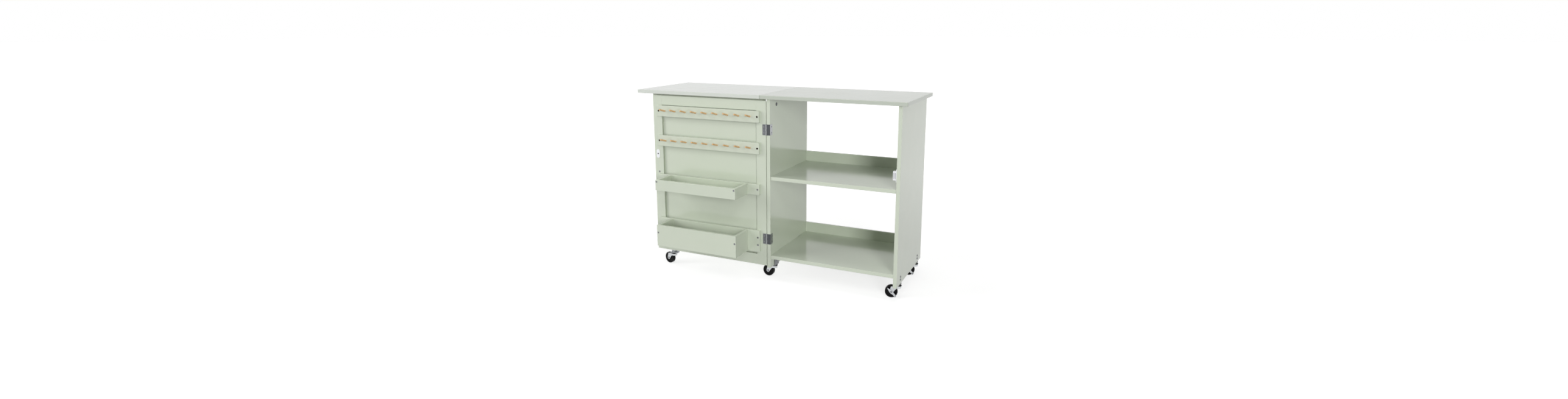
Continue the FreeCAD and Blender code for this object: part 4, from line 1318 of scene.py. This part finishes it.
class TABLE_OT_catch(bpy.types.Operator):
    """Make the magnetic catch, its poles, the strike plate and the knob"""

    bl_idname = "cutting_table.catch"
    bl_label = "Catch, strike plate and knob"

    def execute(self, context):
        body = fresh()
        low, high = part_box("magnetic_catch_body")
        box_low = Vector((low.x, low.y, low.z + CATCH_EAR_TALL))
        box_high = Vector((high.x, high.y, high.z - CATCH_EAR_TALL))
        add_board(body, box_low, box_high, CATCH_EASE, FULL_STEPS)
        ear_low = Vector((high.x - CATCH_EAR_THICK, low.y + CATCH_EAR_INSET, low.z))
        ear_high = high - Vector((0.0, CATCH_EAR_INSET, 0.0))
        add_board(body, ear_low, ear_high, CATCH_EAR_EASE, FULL_STEPS)
        keep_piece(body, "catch_housing", white_plastic(), "cabinet", "white_plastic", "magnetic_catch_body")

        poles = fresh()
        low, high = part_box("magnetic_catch_poles")
        for x in (low.x, high.x - POLE_THICK):
            pole = Vector((x, low.y, low.z)), Vector((x + POLE_THICK, high.y, high.z))
            add_board(poles, *pole, POLE_EASE, THIN_STEPS)
        keep_piece(poles, "catch_poles", hinge_zinc(), "cabinet", "dark_steel", "magnetic_catch_poles")

        strike = fresh()
        low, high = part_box("strike_plate")
        radius = (high.x - low.x) / 2
        x = (high.x + low.x) / 2
        outline = arc(x, high.z - radius, radius, 0, 180, STRIKE_END_STEPS)
        outline += arc(x, low.z + radius, radius, 180, 360, STRIKE_END_STEPS)
        on_door = facing_front((0.0, high.y, 0.0))
        add_eased_plate(strike, outline, high.y - low.y, STRIKE_EASE, FULL_STEPS, on_door)
        keep_piece(strike, "strike_oval", white_plastic(), "door", "white_plastic", "strike_plate")

        knob = fresh()
        low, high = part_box("knob")
        middle = (low + high) / 2
        place = along(Vector((middle.x, low.y, middle.z)), BACK)
        add_turned(knob, in_metres(KNOB_PROFILE_MM), place, KNOB_FACETS)
        keep_piece(knob, "knob_turned", knob_nickel(), "door", "knob_metal", "knob")
        return {"FINISHED"}


def joint_spot(name):
    """Return where a joint sits, in metres."""
    for joint in frame["joints"]:
        if joint["name"] == name:
            return Vector(joint["pos_m"])
    raise ValueError("the frame has no joint named " + name)


def caster_place(name):
    """Return a caster's own frame, how far its wheel trails and how high its axle is."""
    swivel = joint_spot("swivel_" + name)
    axle = joint_spot("roll_" + name)
    trail = (axle - swivel).to_2d()
    heading = math.atan2(trail.y, trail.x)
    place = Matrix.Translation((swivel.x, swivel.y, 0.0)) @ Matrix.Rotation(heading, 4, "Z")
    return place, trail.length, axle.z


class TABLE_OT_wheels(bpy.types.Operator):
    """Make the five wheels"""

    bl_idname = "cutting_table.wheels"
    bl_label = "Wheels"

    def execute(self, context):
        other_side = [(radius, -side) for radius, side in reversed(WHEEL_SIDE_MM)]
        profile = in_metres([*WHEEL_SIDE_MM, *other_side])
        for name in CASTERS:
            place, trail, axle = caster_place(name)
            bm = fresh()
            on_axle = place @ Matrix.Translation((trail, 0.0, axle)) @ Matrix.Rotation(-QUARTER, 4, "X")
            add_turned(bm, profile, on_axle, WHEEL_FACETS, ring=True)
            body = "wheel_" + name
            keep_piece(bm, body, black_tyre(), body, "wheel_black", "caster_wheel_" + name)
        return {"FINISHED"}


class TABLE_OT_forks(bpy.types.Operator):
    """Make the five pressed forks with their swivel races and axles"""

    bl_idname = "cutting_table.forks"
    bl_label = "Forks"

    def execute(self, context):
        for name in CASTERS:
            place, trail, axle = caster_place(name)
            body = "swivel_" + name
            race = fresh()
            add_turned(race, in_metres(RACE_PROFILE_MM), place, RACE_FACETS, ring=True)
            # The race is dark as painted shade of the gap under the bracket
            keep_piece(race, "swivel_race_" + name, shaded_race_steel(), body, "caster_zinc")
            fork = fresh()
            self.add_crown(fork, place)
            self.add_cheeks(fork, place, trail, axle)
            middle = place @ Vector((trail, 0.0, axle))
            side = place.to_3x3() @ BACK
            reach = CHEEK_OUTER + BRAKE_ROOM if name in BRAKED else CHEEK_OUTER
            near, far = middle - side * CHEEK_OUTER, middle + side * reach
            add_barrel(fork, near, side, AXLE_RADIUS, CHEEK_OUTER + reach, AXLE_CHAMFER)
            keep_piece(fork, "fork_" + name, caster_zinc(), body, "caster_zinc", "caster_fork_" + name)
            rivets = fresh()
            dimple = circle(DIMPLE_RADIUS, DIMPLE_FACETS)
            for spot, way in ((near, -side), (far, side)):
                add_driven_head(rivets, spot, way, RIVET_RADIUS, dimple, RIVET_PROUD, DIMPLE_DEPTH)
            keep_piece(rivets, "axle_rivets_" + name, screw_zinc(), body, "caster_zinc")
        return {"FINISHED"}

    def add_crown(self, bm, place):
        """Add the half-round crown under the race and the heel that hangs from it."""
        edge = CHEEK_OUTER - CROWN_SETBACK
        crown = arc(0.0, 0.0, edge, 90, 270, HEEL_STEPS) + [(CROWN_REACH, -edge), (CROWN_REACH, edge)]
        thickness = CROWN_HIGH - CROWN_LOW
        add_eased_plate(bm, crown, thickness, CROWN_EASE, FULL_STEPS, place @ lifted(CROWN_LOW))
        heel = arc(0.0, 0.0, CHEEK_OUTER, 90, 270, HEEL_STEPS)
        heel += arc(0.0, 0.0, CHEEK_INNER, 270, 90, HEEL_STEPS)
        tall = CROWN_HIGH - HEEL_SETBACK - HEEL_LOW
        add_eased_plate(bm, heel, tall, HEEL_EASE, THIN_STEPS, place @ lifted(HEEL_LOW))

    def add_cheeks(self, bm, place, trail, axle):
        """Add the two cheeks, from the crown down and back to a boss round the axle."""
        cheek = [(0.0, HEEL_LOW), (0.0, CROWN_HIGH), (CROWN_REACH, CROWN_HIGH)]
        nose = trail - NOSE_SETBACK, CROWN_LOW - NOSE_DROP
        cheek += arc(*nose, NOSE_RADIUS, 90, CHEEK_FRONT_DEGREES, NOSE_STEPS)
        cheek += arc(trail, axle, BOSS_RADIUS, CHEEK_FRONT_DEGREES, CHEEK_UNDER_DEGREES, BOSS_STEPS)
        cheek += CHEEK_UNDERSIDE
        for start in (-CHEEK_INNER, CHEEK_OUTER):
            leg = place @ facing_front((0.0, start, 0.0))
            add_eased_plate(bm, cheek, CHEEK_THICKNESS, CHEEK_EASE, FULL_STEPS, leg)


class TABLE_OT_brakes(bpy.types.Operator):
    """Make the two brake levers"""

    bl_idname = "cutting_table.brakes"
    bl_label = "Brake levers"

    def execute(self, context):
        lower = [(x, -y) for x, y in reversed(LEVER_HALF_MM)]
        lever = in_metres([lower[-1], *LEVER_HALF_MM, LEVER_TIP_MM, *lower[:-1]])
        outer = LEVER_INNER + PEDAL_WIDE
        for name in BRAKED:
            place, trail, axle = caster_place(name)
            turned = place @ Matrix.Translation((trail, 0.0, axle)) @ Matrix.Rotation(LEVER_TURN, 4, "Y")
            bm = fresh()
            flat = turned @ facing_front((0.0, LEVER_INNER + LEVER_THICK, 0.0))
            add_eased_plate(bm, lever, LEVER_THICK, LEVER_EASE, FULL_STEPS, flat)
            low = Vector((LEVER_END - LEVER_THICK, LEVER_INNER, -PEDAL_HALF_DEPTH))
            high = Vector((LEVER_END, outer, PEDAL_HALF_DEPTH))
            add_board(bm, low, high, PEDAL_EASE, FULL_STEPS, place=turned)
            for z in RIB_LEVELS:
                low = Vector((LEVER_END - RIB_SUNK, LEVER_INNER + RIB_INNER_INSET, z - RIB_HALF_WIDTH))
                high = Vector((LEVER_END + RIB_PROUD, outer - RIB_OUTER_INSET, z + RIB_HALF_WIDTH))
                add_board(bm, low, high, RIB_EASE, THIN_STEPS, place=turned)
            lever_node = "brake_lever_" + name
            keep_piece(bm, "brake_pedal_" + name, caster_zinc(), "brake_" + name, "caster_zinc", lever_node)
        return {"FINISHED"}


class TABLE_OT_brackets(bpy.types.Operator):
    """Make the bent caster brackets with their bolts and king pins"""

    bl_idname = "cutting_table.brackets"
    bl_label = "Caster brackets"

    def execute(self, context):
        plates, pins, bolts = fresh(), fresh(), fresh()
        for name in CABINET_CASTERS:
            facing = math.pi if name.endswith("right") else 0.0
            self.add_bracket(plates, name, facing)
            self.add_king_pin(pins, name)
            self.add_bolts(bolts, name, facing, through=True)
        door_plate, door_pin, door_bolts = fresh(), fresh(), fresh()
        self.add_bracket(door_plate, "door", QUARTER)
        self.add_king_pin(door_pin, "door")
        self.add_bolts(door_bolts, "door", QUARTER, through=False)
        # The cabinet's brackets and all bolt heads are darker than the door's bracket as painted shade
        bright, dull = caster_zinc(), shaded_zinc()
        kept = (
            (plates, "caster_bracket_plates", dull, "cabinet", "caster_brackets"),
            (pins, "caster_king_pin_rivets", bright, "cabinet", "caster_king_pins"),
            (bolts, "caster_bolt_heads", dull, "cabinet", "caster_bolts"),
            (door_plate, "door_caster_bracket_plate", bright, "door", "door_caster_bracket"),
            (door_pin, "door_caster_king_pin_rivet", bright, "door", "door_caster_king_pin"),
            (door_bolts, "door_caster_bolt_heads", dull, "door", "door_caster_bolts"),
        )
        for bm, name, finish, body, node in kept:
            keep_piece(bm, name, finish, body, "caster_zinc", node)
        return {"FINISHED"}

    def bracket_place(self, name, facing):
        """Return the place of a bracket's bend, with its plate towards X."""
        swivel = joint_spot("swivel_" + name)
        spot = Matrix.Translation((swivel.x, swivel.y, 0.0))
        return spot @ Matrix.Rotation(facing, 4, "Z") @ Matrix.Translation((BRACKET_OFFSET, 0.0, 0.0))

    def add_bracket(self, bm, name, facing):
        """Add one bent bracket with rounded upper corners."""
        foot_top = BRACKET_LOW + BRACKET_PLATE
        bend = BRACKET_PLATE - BRACKET_BEND, BRACKET_LOW + BRACKET_BEND
        outline = [(-BRACKET_REACH, BRACKET_LOW)]
        outline += arc(*bend, BRACKET_BEND, -90, 0, BEND_STEPS)
        outline += [(BRACKET_PLATE, BRACKET_TOP), (0.0, BRACKET_TOP)]
        outline += [(0.0, foot_top), (-BRACKET_REACH, foot_top)]
        old = set(bm.verts)
        verts = add_plate(bm, outline, BRACKET_HALF_WIDTH * 2)
        upper = [
            edge for edge in edges_of(verts)
            if all(abs(vert.co.y - BRACKET_TOP) < LEVEL_SLACK for vert in edge.verts)
            and abs(edge.verts[0].co.x - edge.verts[1].co.x) > BRACKET_PLATE / 2
        ]
        bmesh.ops.bevel(
            bm, geom=upper, offset=BRACKET_CORNER, offset_type="OFFSET", affect="EDGES",
            segments=BRACKET_CORNER_STEPS, profile=0.5, material=-1,
        )
        ease_sharp(bm, since(bm, old), BRACKET_EASE, THIN_STEPS)
        place = self.bracket_place(name, facing) @ facing_front((0.0, BRACKET_HALF_WIDTH, 0.0))
        bmesh.ops.transform(bm, matrix=place, verts=since(bm, old))

    def add_king_pin(self, bm, name):
        """Add the riveted king pin of one caster."""
        swivel = joint_spot("swivel_" + name)
        place = Matrix.Translation((swivel.x, swivel.y, 0.0))
        add_turned(bm, in_metres(KING_PIN_PROFILE_MM), place, KING_PIN_FACETS)

    def add_bolts(self, bm, name, facing, through):
        """Add a bracket's two bolt heads and, where they go through the board, the outer heads on washers."""
        place = self.bracket_place(name, facing)
        inward = place.to_3x3() @ RIGHT
        for z in BOLT_LEVELS:
            add_dome(bm, place @ Vector((BRACKET_PLATE, 0.0, z)), inward, BOLT_RADIUS, BOLT_HEIGHT)
            if through:
                outside = place @ Vector((-BOARD_THICKNESS, 0.0, z))
                add_dome(bm, outside, -inward, WASHER_RADIUS, WASHER_HEIGHT)
                add_dome(bm, outside, -inward, OUTER_BOLT_RADIUS, BOLT_HEIGHT)


class TABLE_OT_stage(bpy.types.Operator):
    """Make the white floor, the studio light and the camera"""

    bl_idname = "cutting_table.stage"
    bl_label = "Stage"

    def execute(self, context):
        scene = context.scene
        stage = scene.table_stage
        self.add_floor(scene, stage)
        self.add_room(scene, stage)
        for name, turn, rise, width, height in STRIPS:
            lamp = bpy.data.lights.new(name, "AREA")
            lamp.shape = "RECTANGLE"
            lamp.size = width
            lamp.size_y = height
            lamp.energy = getattr(stage, name)
            self.aim(scene, lamp, turn, rise)
        for name, turn, rise, spread in FAR_LIGHTS:
            lamp = bpy.data.lights.new(name + "_light", "SUN")
            lamp.angle = math.radians(spread)
            lamp.energy = getattr(stage, name)
            self.aim(scene, lamp, turn, rise)
        self.add_camera(scene, stage)
        scene.view_settings.view_transform = "Standard"
        return {"FINISHED"}

    def add_floor(self, scene, stage):
        """Add the paper floor, which keeps the table's shadow and glows to white farther out."""
        bm = bmesh.new()
        bmesh.ops.create_circle(bm, cap_ends=True, radius=FLOOR_RADIUS, segments=FLOOR_FACETS)
        mesh = bpy.data.meshes.new("studio_floor")
        bm.to_mesh(mesh)
        bm.free()
        floor = bpy.data.objects.new("studio_floor", mesh)
        scene.collection.objects.link(floor)
        made, tree, place = start_finish("Matt white studio paper")
        fibre = put(tree, "ShaderNodeTexNoise", {"Vector": place, "Scale": per(30 * MM), "Detail": 2.0})
        bump = put(
            tree, "ShaderNodeBump",
            {"Strength": 0.02, "Distance": 0.1 * MM, "Height": fibre.outputs["Fac"]},
        )
        paper = put(
            tree, "ShaderNodeBsdfDiffuse",
            {"Color": rgba(stage.floor_colour), "Normal": bump.outputs["Normal"]},
        )
        far = put(tree, "ShaderNodeVectorMath", {0: place}, operation="LENGTH")
        level = put(
            tree, "ShaderNodeMapRange",
            {
                "Value": far.outputs["Value"], "From Min": GLOW_NEAR, "From Max": GLOW_FAR,
                "To Min": stage.floor_glow, "To Max": 1.0,
            },
        )
        glow = put(
            tree, "ShaderNodeMath",
            {0: self.seen_rays(tree), 1: level.outputs["Result"]}, operation="MULTIPLY",
        )
        lift = put(tree, "ShaderNodeEmission", {"Strength": glow.outputs[0]})
        lit_paper = put(tree, "ShaderNodeAddShader", {0: paper.outputs[0], 1: lift.outputs[0]})
        put(tree, "ShaderNodeOutputMaterial", {"Surface": lit_paper.outputs[0]})
        mesh.materials.append(made)

    def add_room(self, scene, stage):
        """Add the white room: white where it is seen, and a weak even light on the table."""
        world = bpy.data.worlds.new("White studio")
        scene.world = world
        world.use_nodes = True
        tree = world.node_tree
        tree.nodes.clear()
        fill = put(tree, "ShaderNodeBackground", {"Color": WHITE, "Strength": stage.fill})
        white = put(tree, "ShaderNodeBackground", {"Color": WHITE, "Strength": 1.0})
        both = put(
            tree, "ShaderNodeMixShader",
            {0: self.seen_rays(tree), 1: fill.outputs[0], 2: white.outputs[0]},
        )
        put(tree, "ShaderNodeOutputWorld", {"Surface": both.outputs[0]})

    def seen_rays(self, tree):
        """Return a socket that is 1 where the background is seen, straight or in gloss or glass."""
        rays = put(tree, "ShaderNodeLightPath")
        seen = rays.outputs["Is Camera Ray"]
        for kind in ("Is Glossy Ray", "Is Transmission Ray"):
            either = put(tree, "ShaderNodeMath", {0: seen, 1: rays.outputs[kind]}, operation="MAXIMUM")
            seen = either.outputs[0]
        return seen

    def aim(self, scene, lamp, turn, rise):
        """Aim a lamp at the table from so many degrees right of the front and above the floor."""
        turn, rise = math.radians(turn), math.radians(rise)
        level = math.cos(rise)
        way = Vector((math.sin(turn) * level, -math.cos(turn) * level, math.sin(rise)))
        light = bpy.data.objects.new(lamp.name, lamp)
        light.location = way * LAMP_DISTANCE + LAMP_AIM
        light.rotation_euler = way.to_track_quat("Z", "Y").to_euler()
        # Gloss mirrors the white room, not the lamps: they would burn white spots into the tops.
        light.visible_glossy = False
        scene.collection.objects.link(light)

    def add_camera(self, scene, stage):
        """Add the camera at the photograph's viewing angle."""
        view = bpy.data.cameras.new("camera")
        view.lens = stage.lens
        view.sensor_width = SENSOR_WIDTH_MM
        view.sensor_fit = "HORIZONTAL"
        view.shift_y = stage.shift
        camera = bpy.data.objects.new("camera", view)
        camera.location = stage.camera_place
        camera.rotation_euler = (QUARTER - stage.camera_tilt, 0.0, stage.camera_turn)
        scene.collection.objects.link(camera)
        scene.camera = camera


PIECE_OPERATORS = (
    TABLE_OT_cabinet_boards, TABLE_OT_tops, TABLE_OT_door, TABLE_OT_fittings, TABLE_OT_pegs, TABLE_OT_screws,
    TABLE_OT_door_hinges, TABLE_OT_leaf_hinges, TABLE_OT_catch, TABLE_OT_wheels, TABLE_OT_forks,
    TABLE_OT_brakes, TABLE_OT_brackets, TABLE_OT_stage,
)


class TABLE_PT_pieces(bpy.types.Panel):
    """List the pieces of the cutting table"""

    bl_idname = "TABLE_PT_pieces"
    bl_label = "Cutting table"
    bl_space_type = "VIEW_3D"
    bl_region_type = "UI"
    bl_category = "Cutting table"

    def draw(self, context):
        for operator in PIECE_OPERATORS:
            self.layout.operator(operator.bl_idname)


SETTINGS = {
    "table_boards": BoardSettings,
    "table_paint": PaintSettings,
    "table_hardware": HardwareSettings,
    "table_stage": StageSettings,
}


def register():
    """Register the settings, operators and panel."""
    for name, group in SETTINGS.items():
        bpy.utils.register_class(group)
        setattr(bpy.types.Scene, name, PointerProperty(type=group))
    for made in (*PIECE_OPERATORS, TABLE_PT_pieces):
        bpy.utils.register_class(made)


def unregister():
    """Remove the settings, operators and panel."""
    for made in (TABLE_PT_pieces, *reversed(PIECE_OPERATORS)):
        bpy.utils.unregister_class(made)
    for name, group in SETTINGS.items():
        delattr(bpy.types.Scene, name)
        bpy.utils.unregister_class(group)


def main():
    """Register the add-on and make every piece."""
    register()
    bpy.ops.cutting_table.cabinet_boards()
    bpy.ops.cutting_table.tops()
    bpy.ops.cutting_table.door()
    bpy.ops.cutting_table.fittings()
    bpy.ops.cutting_table.pegs()
    bpy.ops.cutting_table.screws()
    bpy.ops.cutting_table.door_hinges()
    bpy.ops.cutting_table.leaf_hinges()
    bpy.ops.cutting_table.catch()
    bpy.ops.cutting_table.wheels()
    bpy.ops.cutting_table.forks()
    bpy.ops.cutting_table.brakes()
    bpy.ops.cutting_table.brackets()
    bpy.ops.cutting_table.stage()


if __name__ == "__main__":
    main()
